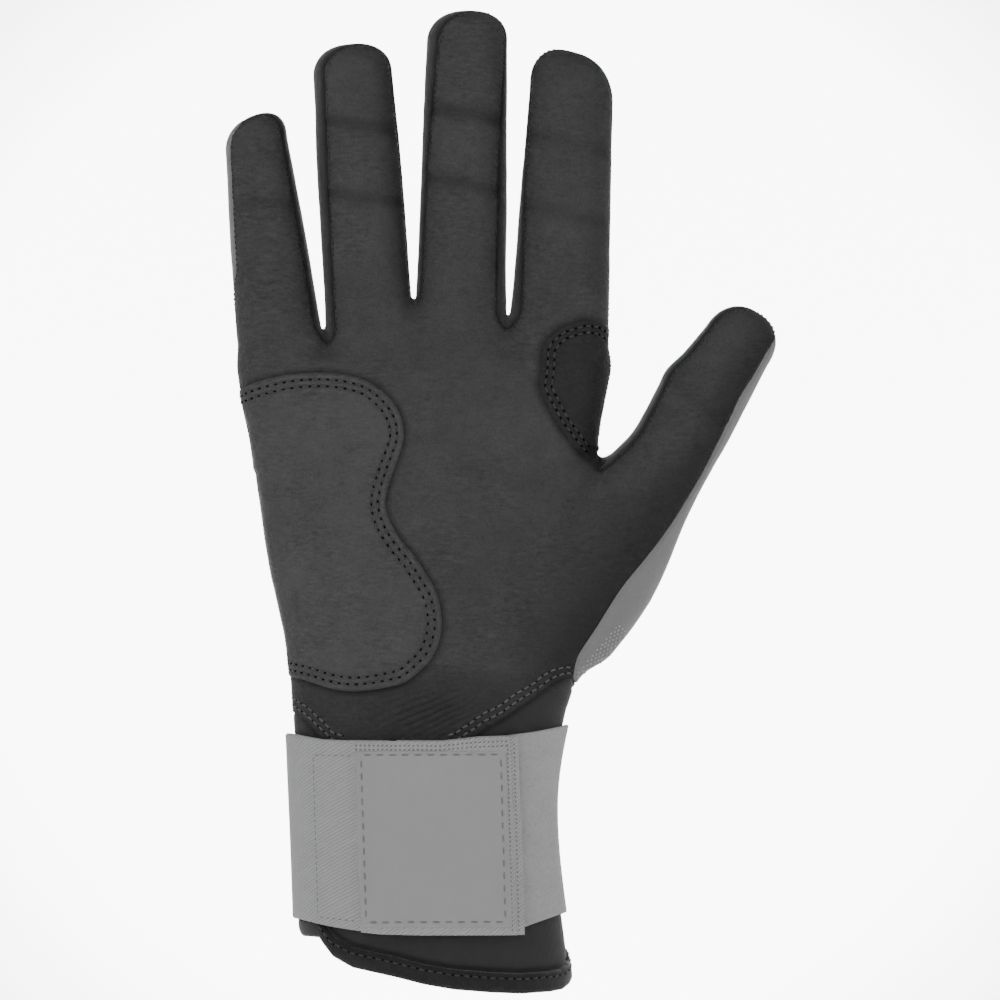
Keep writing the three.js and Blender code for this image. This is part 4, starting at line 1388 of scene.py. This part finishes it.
def slab(name, material, turns, heights, base, thickness, edge=0.6):
    """A closed slab round the wrist: turns and heights give its sides for a share of the way."""
    middle = turns(np.array(0.5), STRAP_MIDDLE)
    ends = turns(np.array([0.0, 1.0]), float(heights(middle, 0.5)))
    arc = wrap_points(np.linspace(*ends, 80), np.full(80, STRAP_MIDDLE), base)
    across = float(np.linalg.norm(np.diff(arc, axis=0), axis=1).sum())
    tall = float(heights(middle, 1.0) - heights(middle, 0.0))
    s = eased_steps(across, SLAB_STEP, edge)
    t = eased_steps(tall, SLAB_STEP * SLAB_STEP_UP, edge)
    grid_s, grid_t = np.meshgrid(s, t, indexing="ij")
    turn = turns(grid_s, heights(turns(grid_s, STRAP_MIDDLE), grid_t))
    height = heights(turn, grid_t)
    inside = np.minimum(np.minimum(grid_s, 1 - grid_s) * across, np.minimum(grid_t, 1 - grid_t) * tall)
    top = base + thickness * (0.45 + 0.55 * rounded(inside, edge))
    outer, inner = (wrap_points(turn, height, offset).reshape(-1, 3) for offset in (top, base))
    index = np.arange(grid_s.size).reshape(grid_s.shape)
    quads = np.stack([index[:-1, :-1], index[1:, :-1], index[1:, 1:], index[:-1, 1:]], -1).reshape(-1, 4)
    rim = np.concatenate([index[:, 0], index[-1, 1:], index[-2::-1, -1], index[0, -2:0:-1]])
    after = np.roll(rim, -1)
    n = grid_s.size
    faces = np.concatenate([quads, quads[:, ::-1] + n, np.stack([after, rim, rim + n, after + n], 1)])
    if ends[1] < ends[0]:
        faces = faces[:, ::-1]
    uv = np.tile(np.stack([grid_s * across, grid_t * tall], -1).reshape(-1, 2) / METRE, (2, 1))
    return add_mesh(name, np.concatenate([outer, inner]), faces, material, uv=uv)


def laid_lines(lines, offset):
    """Lines of the photograph, laid round the wrist at an offset from the cuff."""
    made = []
    for line in lines:
        places = np.arange(len(line))
        at = np.linspace(0, len(line) - 1, 60 * (len(line) - 1))
        column, row = (np.interp(at, places, np.array(line)[:, k]) for k in range(2))
        depth = np.full(len(at), -20.0)
        for _ in range(5):
            scale = VIEW_WIDTH / PHOTO_SIZE * (depth - CAMERA_PLACE[1]) / -CAMERA_PLACE[1]
            across = CAMERA_PLACE[0] + (column - PHOTO_SIZE / 2) * scale
            height = photo_height(row, depth)
            turn = wrap_turn(across, height, offset)
            points = wrap_points(turn, height, offset)
            depth = points[:, 1]
        made.append((points, {"out": wrap_points(turn, height, offset + 1.0) - points}))
    return made


def strap_heights(top_line, bottom_line):
    """Heights between two edges of the strap, as the photograph shows them in front."""
    def heights(turn, share):
        turn = np.asarray(turn, float)
        place = wrap_points(turn, np.full_like(turn, LINES_HEIGHT), LINES_OFFSET)
        column, depth = photo_column(place[..., 0], place[..., 1]), place[..., 1]
        high, low = (photo_height(row_of(line, column), depth) for line in (top_line, bottom_line))
        return low + (high - low) * share
    return heights


def turns_between(start, end):
    """Turns of a slab whose two ends have a turn at each height."""
    return lambda share, height: start(height) + (end(height) - start(height)) * share


def fixed(turn):
    return lambda height: turn + 0.0 * np.asarray(height, float)


def reached(across, offset, lean=0.0, top=0.0):
    """The turn at which the front lies so far across, and further below the top if it leans."""
    return lambda height: wrap_turn(across + (top - np.asarray(height, float)) * lean, height, offset)


def settings():
    return bpy.context.scene.glove_sizes, bpy.context.scene.glove_colours


def finished():
    sizes, _ = settings()
    return finished_hand(mm(sizes.fineness), mm(sizes.seam_width), mm(sizes.seam_depth))


def add_panel(name, patch, material, thickness):
    points, faces, normals = closed_shell(patch, thickness)
    shade = np.tile(patch.fields["shade"], 2)
    return add_mesh(name, points, faces, material, normals=normals, shade=shade)


def sew(name, made, material, body):
    """Threads, or the painted shade of needle holes, as one piece on a body."""
    return hold(add_mesh(name, *made, material), body)


def from_web(points):
    return np.linalg.norm(points - WEB_PLACE, axis=1)


# Takes the painted shade off a panel
def unshaded(patch):
    patch.fields["shade"] = 0.0 * patch.fields["shade"]
    return patch


@lru_cache(maxsize=None)
def hand_part(name="hand", part=""):
    """The stretch of surface that belongs to a finger's segment, or to the hand."""
    whole = finished()
    if name == "hand":
        return whole.below("root")
    own = np.abs(whole.fields["part"] - LIMBS.index(name)) < 0.5
    faces = whole.faces[own[whole.faces].any(1)]
    stall = Patch(whole.points, faces, whole.fields).tidy().above("root")
    return stall.below("middle") if part == "lower" else stall.above("middle")


# Operators

class GLOVE_OT_stage(bpy.types.Operator):
    """Camera, lights and a white paper sweep that glows"""

    bl_idname = "glove.stage"
    bl_label = "Stage"

    def execute(self, context):
        camera = bpy.data.cameras.new("view")
        camera.sensor_width = SENSOR
        camera.lens = SENSOR * -CAMERA_PLACE[1] / VIEW_WIDTH
        camera.clip_start = 0.05
        eye = bpy.data.objects.new("view", camera)
        eye.location = [c / METRE for c in CAMERA_PLACE]
        eye.rotation_euler = (math.pi / 2.0, 0.0, 0.0)
        context.scene.collection.objects.link(eye)
        context.scene.camera = eye
        self.paper()
        self.lights(context)
        return {"FINISHED"}

    def paper(self):
        floor, bend, wall, foot = 1100.0, 500.0, 1900.0, -420.0
        profile = [(0.0, foot), (floor * 0.5, foot), (floor, foot)]
        for k in range(1, 13):
            angle = math.pi / 2.0 * k / 12
            profile.append((floor + bend * math.sin(angle), foot + bend * (1.0 - math.cos(angle))))
        profile.append((floor + bend, wall))
        sides = 72
        points, faces = [(0.0, 0.0, foot)], []
        for radius, height in profile[1:]:
            for j in range(sides):
                angle = 2.0 * math.pi * j / sides
                points.append((radius * math.cos(angle), radius * math.sin(angle), height))
        for j in range(sides):
            after = (j + 1) % sides
            faces.append((0, 1 + j, 1 + after))
            for i in range(len(profile) - 2):
                a, b = 1 + i * sides, 1 + (i + 1) * sides
                faces.append((a + j, b + j, b + after, a + after))
        add_mesh("glowing_paper_sweep", points, faces, glowing_backdrop_paper("glowing_studio_paper"))

    def lights(self, context):
        world = context.scene.world or bpy.data.worlds.new("studio")
        context.scene.world = world
        world.use_nodes = True
        back = world.node_tree.nodes["Background"]
        back.inputs[0].default_value = (1.0, 1.0, 1.0, 1.0)
        back.inputs[1].default_value = 0.14
        palm = Vector((0.0, 0.0, 0.13))
        for name, place, size, power in (
            ("key_light", (-0.5, -0.95, 0.75), 0.5, 2.1),
            ("fill_light", (0.6, -1.0, 0.2), 0.8, 0.5),
            ("rear_light", (0.2, 1.0, 0.7), 0.8, 0.1),
        ):
            lamp = bpy.data.lights.new(name, "AREA")
            lamp.shape = "SQUARE"
            lamp.size = size
            lamp.energy = power
            holder = bpy.data.objects.new(name, lamp)
            holder.location = place
            holder.rotation_euler = (palm - Vector(place)).to_track_quat("-Z", "Y").to_euler()
            holder.visible_camera = False
            context.scene.collection.objects.link(holder)


class GLOVE_OT_palm_and_back(bpy.types.Operator):
    """Palm leather, back and the strips at the crotches"""

    bl_idname = "glove.palm_and_back"
    bl_label = "Palm and back"

    def execute(self, context):
        sizes, colours = settings()
        panel = mm(sizes.panel)
        upper = hand_part().above("cuff")
        palm = upper.below("front")
        piece = add_panel("palm_panel", palm, leather("palm_leather_skin", colours.palm), panel)
        hold(piece, "hand", ["palm_leather"])
        back = unshaded(upper.above("back").above("front"))
        piece = add_panel("back_panel", back, back_cloth("back_cloth", colours.back), panel)
        hold(piece, "hand", ["hand_back"])
        dot_cloth = back_cloth("dot_print", [1.9 * c for c in colours.back])
        sew("back_dots", self.dots(), dot_cloth, "hand")
        strips = upper.above("front").below("back")
        web = strips.points[:, 0] > mm(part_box("thumb_web_gusset")[0][0]) - 6.0
        side = knit("side_knit", colours.strip)
        for name, chosen, nodes in (
            ("crotch_strips", ~web, [n for n in frame["nodes"] if n.startswith("crotch_")]),
            ("web_gusset", web, ["thumb_web_gusset"]),
        ):
            part = Patch(strips.points, strips.faces[chosen[strips.faces].all(1)], strips.fields).tidy()
            hold(add_panel(name, part, side, panel), "hand", nodes)
        return {"FINISHED"}

    def dots(self):
        """Raised dots at the base of the thumb, on the grey of the back."""
        start, end = np.array(DOT_LINE, float)
        way = (end - start) / np.linalg.norm(end - start)
        along, beside = np.meshgrid(
            np.arange(0.0, DOT_RUN, DOT_PITCH), np.arange(*DOT_ROWS, DOT_PITCH), indexing="ij",
        )
        beside[1::2] += DOT_PITCH / 2.0
        seen = start + along.reshape(-1, 1) * way + beside.reshape(-1, 1) * np.array([-way[1], way[0]])
        eye = np.array(CAMERA_PLACE)
        shift = (seen - PHOTO_SIZE / 2) * VIEW_WIDTH / PHOTO_SIZE
        ray = unit(np.stack([shift[:, 0], np.full(len(seen), -eye[1]), -shift[:, 1]], 1))
        places = eye + ray * (-eye[1] - 60.0)
        for _ in range(40):
            places = places + ray * np.clip(hand_distance(places), -2.0, 8.0)[:, None]
        out = slope_at(places)
        edge = line_distance(seen, curved(THUMB_EDGE))
        fine = (edge > 2.0) & (np.abs(hand_distance(places)) < 0.05) & (out[:, 1] < -0.12)
        places, out = places[fine], out[fine]
        ahead = unit(np.cross(out, np.array([0.0, 1.0, 0.0])))
        return grains(places, out, ahead, DOT_SIZE, DOT_LIFT)


class GLOVE_OT_stalls(bpy.types.Operator):
    """Front, back and side strips of each finger and the thumb"""

    bl_idname = "glove.stalls"
    bl_label = "Fingers and thumb"

    def execute(self, context):
        sizes, colours = settings()
        panel = mm(sizes.panel)
        looks = {
            "front": (leather("palm_leather_skin", colours.palm), "palm_leather"),
            "back": (back_cloth("back_cloth", colours.back), "back_fabric"),
            "strips": (knit("side_knit", colours.strip), "side_fabric"),
        }
        for name in LIMBS:
            for part, segment in (("lower", "proximal"), ("upper", "distal")):
                stall = hand_part(name, part)
                nodes = [n for n in frame["nodes"] if n.startswith(f"{name}_{segment}")]
                behind = stall.above("front")
                for kind, patch, ending in (
                    ("front", stall.below("front"), "_front"),
                    ("back", unshaded(behind.above("back")), "_back"),
                    ("strips", behind.below("back"), "_side"),
                ):
                    material, slot = looks[kind]
                    piece = add_panel(f"{name}_{kind}_{part}", patch, material, panel)
                    hold(piece, None, [n for n in nodes if n.endswith(ending)])
                    bend_with(piece, name, part)
        return {"FINISHED"}


class GLOVE_OT_cuff(bpy.types.Operator):
    """Neoprene cuff and its bound hem"""

    bl_idname = "glove.cuff"
    bl_label = "Cuff and hem"

    def execute(self, context):
        sizes, colours = settings()
        cuff = hand_part().below("cuff", 4.0).above("hem", 2.0)
        cuff = cuff.refined(lambda patch: 0.5 + 0.4 * np.abs(patch.fields["hem"] - 6.2))
        sunk, under = CUFF_SINKS
        ease = eased(cuff.fields["cuff"], -1.5, 1.5)
        groove = CUFF_GROOVE * hill(cuff.fields["hem"] - CUFF_GROOVE_HEIGHT, 0.7)
        cuff.points = cuff.points - cuff.fields["out"] * (sunk + (under - sunk) * ease + groove)[:, None]
        # Painted shade: a shadow under the leather's edge and in the groove above the hem
        shadow_under_edge = hill(np.minimum(cuff.fields["cuff"], 0.0), 1.1)
        cuff.fields["shade"] = np.clip(0.6 * shadow_under_edge + 1.2 * groove, 0.0, MOST_SHADE)
        material = knit("cuff_neoprene", colours.cuff, stitch=0.5, depth=0.03, fleck=0.06, sheen=0.2)
        piece = add_panel("cuff_shell", cuff, material, NEOPRENE)
        hold(piece, "hand", ["cuff_front", "cuff_back"])
        self.hem(sizes, colours)
        return {"FINISHED"}

    def hem(self, sizes, colours):
        around, section = HEM_AROUND, HEM_SECTION
        turn = np.linspace(-math.pi, math.pi, around, endpoint=False)
        flat = wrap_points(turn, np.full(around, 5.0), 0.0)
        bottom = hem_bottom(flat, 3.0)
        rings = []
        for angle in np.arange(section) * 2.0 * math.pi / section:
            deep, high = (math.copysign(abs(c) ** 0.75, c) for c in (math.cos(angle), math.sin(angle)))
            lift = (high + 1.0) * HEM_TALL / 2.0
            rings.append(wrap_points(turn, bottom + lift, deep * HEM_THICK / 2.0 - 0.5))
        points = np.stack(rings, 1).reshape(-1, 3)
        index = np.arange(around * section).reshape(around, section)
        ahead, over = np.roll(index, -1, axis=0), np.roll(index, -1, axis=1)
        both = np.roll(ahead, -1, axis=1)
        faces = np.stack([index, ahead, both, over], -1).reshape(-1, 4)
        along = np.concatenate([[0.0], np.cumsum(np.linalg.norm(np.diff(flat, axis=0), axis=1))])
        uv = np.stack([np.repeat(along, section), np.tile(np.arange(section) * 1.0, around)], 1) / METRE
        piece = add_mesh("hem_binding", points, faces, ribbed_binding("hem_rib", colours.hem), uv=uv)
        hold(piece, "hand", ["hem_front", "hem_back"])
        closed = np.append(np.arange(around), 0)
        row = bottom[closed] + HEM_ROW
        line = wrap_points(turn[closed], row, 0.9)
        out = wrap_points(turn[closed], row, 1.9) - line
        pitch = mm(sizes.stitch_pitch)
        made, hole_shades = stitch_lines([(line, {"out": out})], pitch, HEM_THREAD, lift=-0.1, hole=0.7)
        sew("hem_threads", made, sewing_thread("hem_thread", colours.strip), "hand")
        sew("hem_hole_shades", hole_shades, needle_hole_shade(), "hand")


class GLOVE_OT_overlays(bpy.types.Operator):
    """Heel pad and the patch over the web of the thumb"""

    bl_idname = "glove.overlays"
    bl_label = "Heel pad and web patch"

    def execute(self, context):
        sizes, colours = settings()
        jobs = (
            ("pad", "heel_pad", sizes.pad_height, colours.pad, "pad_leather",
             ["heel_pad_cover", "heel_pad_foam"], (1.9, 3.7), PAD_FILL),
            ("patch", "web_patch_leather", sizes.patch_height, colours.patch, "patch_leather",
             ["web_patch"], (1.9, 3.6), 0.0),
        )
        for field, name, height, colour, slot, nodes, rows, fill in jobs:
            patch = self.raised(field, mm(height), rows, fill)
            piece = add_panel(name, patch, leather(f"{name}_skin", colour), OVERLAY_THICKNESS)
            hold(piece, "hand", nodes)
            lines = [line for row in rows for line in contour(patch, "inside", row)]
            lines = kept_stretches(lines, lambda points: from_web(points) > 5.5)
            made, hole_shades = stitch_lines(lines, mm(sizes.stitch_pitch), mm(sizes.thread), lift=0.02)
            sew(f"{name}_stitches", made, sewing_thread("dark_thread", colours.thread_dark), "hand")
            sew(f"{name}_needle_hole_shades", hole_shades, needle_hole_shade(), "hand")
        return {"FINISHED"}

    def raised(self, field, height, rows, fill):
        """The surface inside a sewn edge: drawn in at its rows of stitches and filled behind them."""
        patch = hand_part().below(field)
        patch = patch.refined(lambda p: 0.4 + 0.16 * np.abs(p.fields[field] + 2.4))
        inside = -patch.distance(field, 0.6, 1.6)
        lift = height * (0.25 + 0.45 * rounded(inside, OVERLAY_EDGE))
        for row in rows:
            lift = lift - ROW_DEPTH * hill(inside - row, ROW_WIDTH)
        lift = lift + fill * smoothstep((inside - rows[-1]) / PAD_FILL_RUN)
        lift = lift * (0.2 + 0.8 * eased(-patch.points[:, 1], -0.5, 7.5))
        lift = lift * (0.1 + 0.9 * eased(from_web(patch.points), 2.0, 8.0))
        patch.points = patch.points + patch.fields["out"] * lift[:, None]
        patch.fields["inside"] = inside
        # Painted shade at the pad's or patch's own edge and in the dips of its rows of stitches
        edge_and_row_shades = [0.12 * hill(inside, 0.4)] + [0.28 * hill(inside - row, 0.5) for row in rows]
        patch.fields["shade"] = np.max(edge_and_row_shades, axis=0)
        patch.fields["out"] = patch.normals()
        return patch


class GLOVE_OT_stitching(bpy.types.Operator):
    """Threads of the finger seams and of the seams above the strap"""

    bl_idname = "glove.stitching"
    bl_label = "Stitching"

    def execute(self, context):
        sizes, colours = settings()
        hand = hand_part().above("cuff")
        palm = hand.below("front")
        palm.fields["cuff_row"] = palm.distance("cuff", 0.5, 1.5)
        rear = hand.above("back").above("front")
        dark = sewing_thread("dark_thread", colours.thread_dark)
        light = sewing_thread("cuff_thread", colours.thread_light)
        for name, panel, field, keep, thread, slot in (
            ("palm_seam", palm, "cuff_row", self.beside_strap, light, "palm_leather"),
            ("back_seam", rear, "cuff", lambda points: points[:, 1] > 3.0, dark, "back_fabric"),
        ):
            lines = [line for row in CUFF_ROWS for line in contour(panel, field, row)]
            lines = kept_stretches(lines, keep)
            thick = mm(sizes.thread) * 1.1
            made, hole_shades = stitch_lines(lines, mm(sizes.cuff_pitch), thick, lift=0.04, long=0.76, hole=0.6)
            sew(f"{name}_threads", made, thread, "hand")
            sew(f"{name}_holes", hole_shades, needle_hole_shade(), "hand")
        black = sewing_thread("seam_thread_and_shade", colours.thread_seam_and_shade)
        sew("crotch_threads", self.edge_threads(palm, sizes), black, "hand")
        for name in LIMBS:
            for part in ("lower", "upper"):
                made = self.edge_threads(hand_part(name, part).below("front"), sizes)
                bend_with(sew(f"{name}_threads_{part}", made, black, None), name, part)
        return {"FINISHED"}

    def beside_strap(self, points):
        column, row = photo(points).T
        before, after = TAB_COLUMNS
        bare = (column < before) | ((column > after) & (column < STRAP_END))
        return bare & (row < row_of(STRAP_TOP, column) + 4.0) & (points[:, 1] < -2.0)

    def edge_threads(self, panel, sizes):
        panel.fields["rim"] = -panel.distance("front", 0.5, 1.6)
        lines = contour(panel, "rim", SEAM_ROW)
        lines = kept_stretches(lines, lambda points: (points[:, 2] > 128.0) & (from_web(points) > 7.0))
        return stitch_lines(lines, mm(sizes.fine_pitch), 0.46, lift=0.05, long=0.56)[0]


class GLOVE_OT_strap(bpy.types.Operator):
    """Elastic, tab, loop pile and the band round the back"""

    bl_idname = "glove.strap"
    bl_label = "Wrist strap"

    def execute(self, context):
        sizes, colours = settings()
        band = strap_heights(STRAP_TOP, STRAP_BOTTOM)
        box = {n: [[mm(c) for c in corner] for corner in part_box(n)] for n in frame["nodes"]}
        woven = twill_elastic("strap_twill", colours.elastic)
        grey_thread = sewing_thread("tab_thread", colours.thread_tab)
        turns = turns_between(fixed(ELASTIC_START), reached(box["strap_elastic"][1][0], ELASTIC_OFFSET))
        piece = slab("elastic_band", woven, turns, band, 1.0, 1.3, edge=0.7)
        hold(piece, None, ["strap_elastic"])
        made, _ = stitch_lines(laid_lines(ELASTIC_ROWS, 2.3), 1.6, FINE_THREAD, lift=0.02, long=0.7)
        threads = sew("elastic_threads", made, grey_thread, None)
        for each in (piece, threads):
            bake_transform(each)
        turns = turns_between(fixed(REAR_START), fixed(REAR_END))
        piece = slab("rear_band", woven, turns, band, 0.3, 1.2)
        hold(piece, "hand", ["strap_back_band"])
        turns = turns_between(reached(box["strap_loop_panel"][0][0], LOOP_OFFSET), fixed(LOOP_END))
        piece = slab("loop_panel", loop_pile("strap_loop", colours.loop), turns, band, 0.3, 1.1)
        hold(piece, "hand", ["strap_loop_panel"])
        self.tab(sizes, colours, box["strap_tab"], woven, grey_thread)
        return {"FINISHED"}

    def tab(self, sizes, colours, box, woven, grey_thread):
        (left, _, low), (_, _, high) = box
        lean = TAB_LEAN / (high - low)
        end = left + TAB_WIDTH
        span = lambda start, stop, offset: turns_between(
            reached(start, offset, lean, high), reached(stop, offset, lean, high),
        )
        heights = strap_heights(STRAP_TOP, TAB_BOTTOM)
        turns = span(left, end, TAB_OFFSET)
        hold(slab("tab_band", woven, turns, heights, 2.5, 0.9), "tab", ["strap_tab"])
        before, after = TAB_FACE_SPAN
        face_turns = lambda share, height: turns(before + (after - before) * share, height)
        face_heights = strap_heights(FACE_TOP, FACE_BOTTOM)
        smooth = tab_face("tab_face_cloth", colours.tab)
        hold(slab("tab_face", smooth, face_turns, face_heights, 3.3, 0.42, edge=0.7), "tab")
        tape = span(end + TAPE_SPAN[0], end + TAPE_SPAN[1], TAB_OFFSET)
        piece = slab("tab_edge", woven, tape, heights, 1.5, 1.9, edge=0.7)
        hold(piece, "tab", ["tab_edge_tape"])
        made, _ = stitch_lines(laid_lines(FACE_ROWS, 3.72), mm(sizes.tab_pitch), 0.62, long=0.66)
        sew("tab_face_threads", made, grey_thread, "tab")
        rows = laid_lines(SELVAGE_ROWS, 3.4)
        made, hole_shades = stitch_lines(rows, 1.15, FINE_THREAD, long=0.85, slant=0.6)
        pale = sewing_thread("strap_thread", colours.thread_strap)
        sew("tab_edge_threads", made, pale, "tab")
        sew("tab_edge_hole_shades", hole_shades, needle_hole_shade("strap_hole_shades", 0.19), "tab")
        hook = span(end + HOOK_SPAN[0], end + HOOK_SPAN[1], HOOK_OFFSET)
        bottom, top = HOOK_HEIGHT_SPAN
        inner = lambda turn, share: heights(turn, bottom + (top - bottom) * np.asarray(share, float))
        hooks = ribbed_binding("hook_tape_cloth", colours.hook)
        hold(slab("hook_tape", hooks, hook, inner, 1.5, 0.8, edge=0.5), "tab", ["hook_pad"])


OPERATORS = (
    GLOVE_OT_stage, GLOVE_OT_palm_and_back, GLOVE_OT_stalls, GLOVE_OT_cuff, GLOVE_OT_overlays,
    GLOVE_OT_stitching, GLOVE_OT_strap,
)


class GLOVE_PT_workshop(bpy.types.Panel):
    """Sizes, colours and the steps that make the glove"""

    bl_idname = "GLOVE_PT_workshop"
    bl_label = "Batting glove"
    bl_space_type = "VIEW_3D"
    bl_region_type = "UI"
    bl_category = "Glove"

    def draw(self, context):
        layout = self.layout
        for group in (context.scene.glove_sizes, context.scene.glove_colours):
            box = layout.box()
            for name in group.__annotations__:
                box.prop(group, name)
        for step in OPERATORS:
            layout.operator(step.bl_idname)


CLASSES = (GloveSizes, GloveColours, *OPERATORS, GLOVE_PT_workshop)


def register():
    for each in CLASSES:
        bpy.utils.register_class(each)
    bpy.types.Scene.glove_sizes = bpy.props.PointerProperty(type=GloveSizes)
    bpy.types.Scene.glove_colours = bpy.props.PointerProperty(type=GloveColours)


def unregister():
    del bpy.types.Scene.glove_colours
    del bpy.types.Scene.glove_sizes
    for each in reversed(CLASSES):
        bpy.utils.unregister_class(each)


def main():
    register()
    for step in OPERATORS:
        group, name = step.bl_idname.split(".")
        getattr(getattr(bpy.ops, group), name)()


if __name__ == "__main__":
    main()
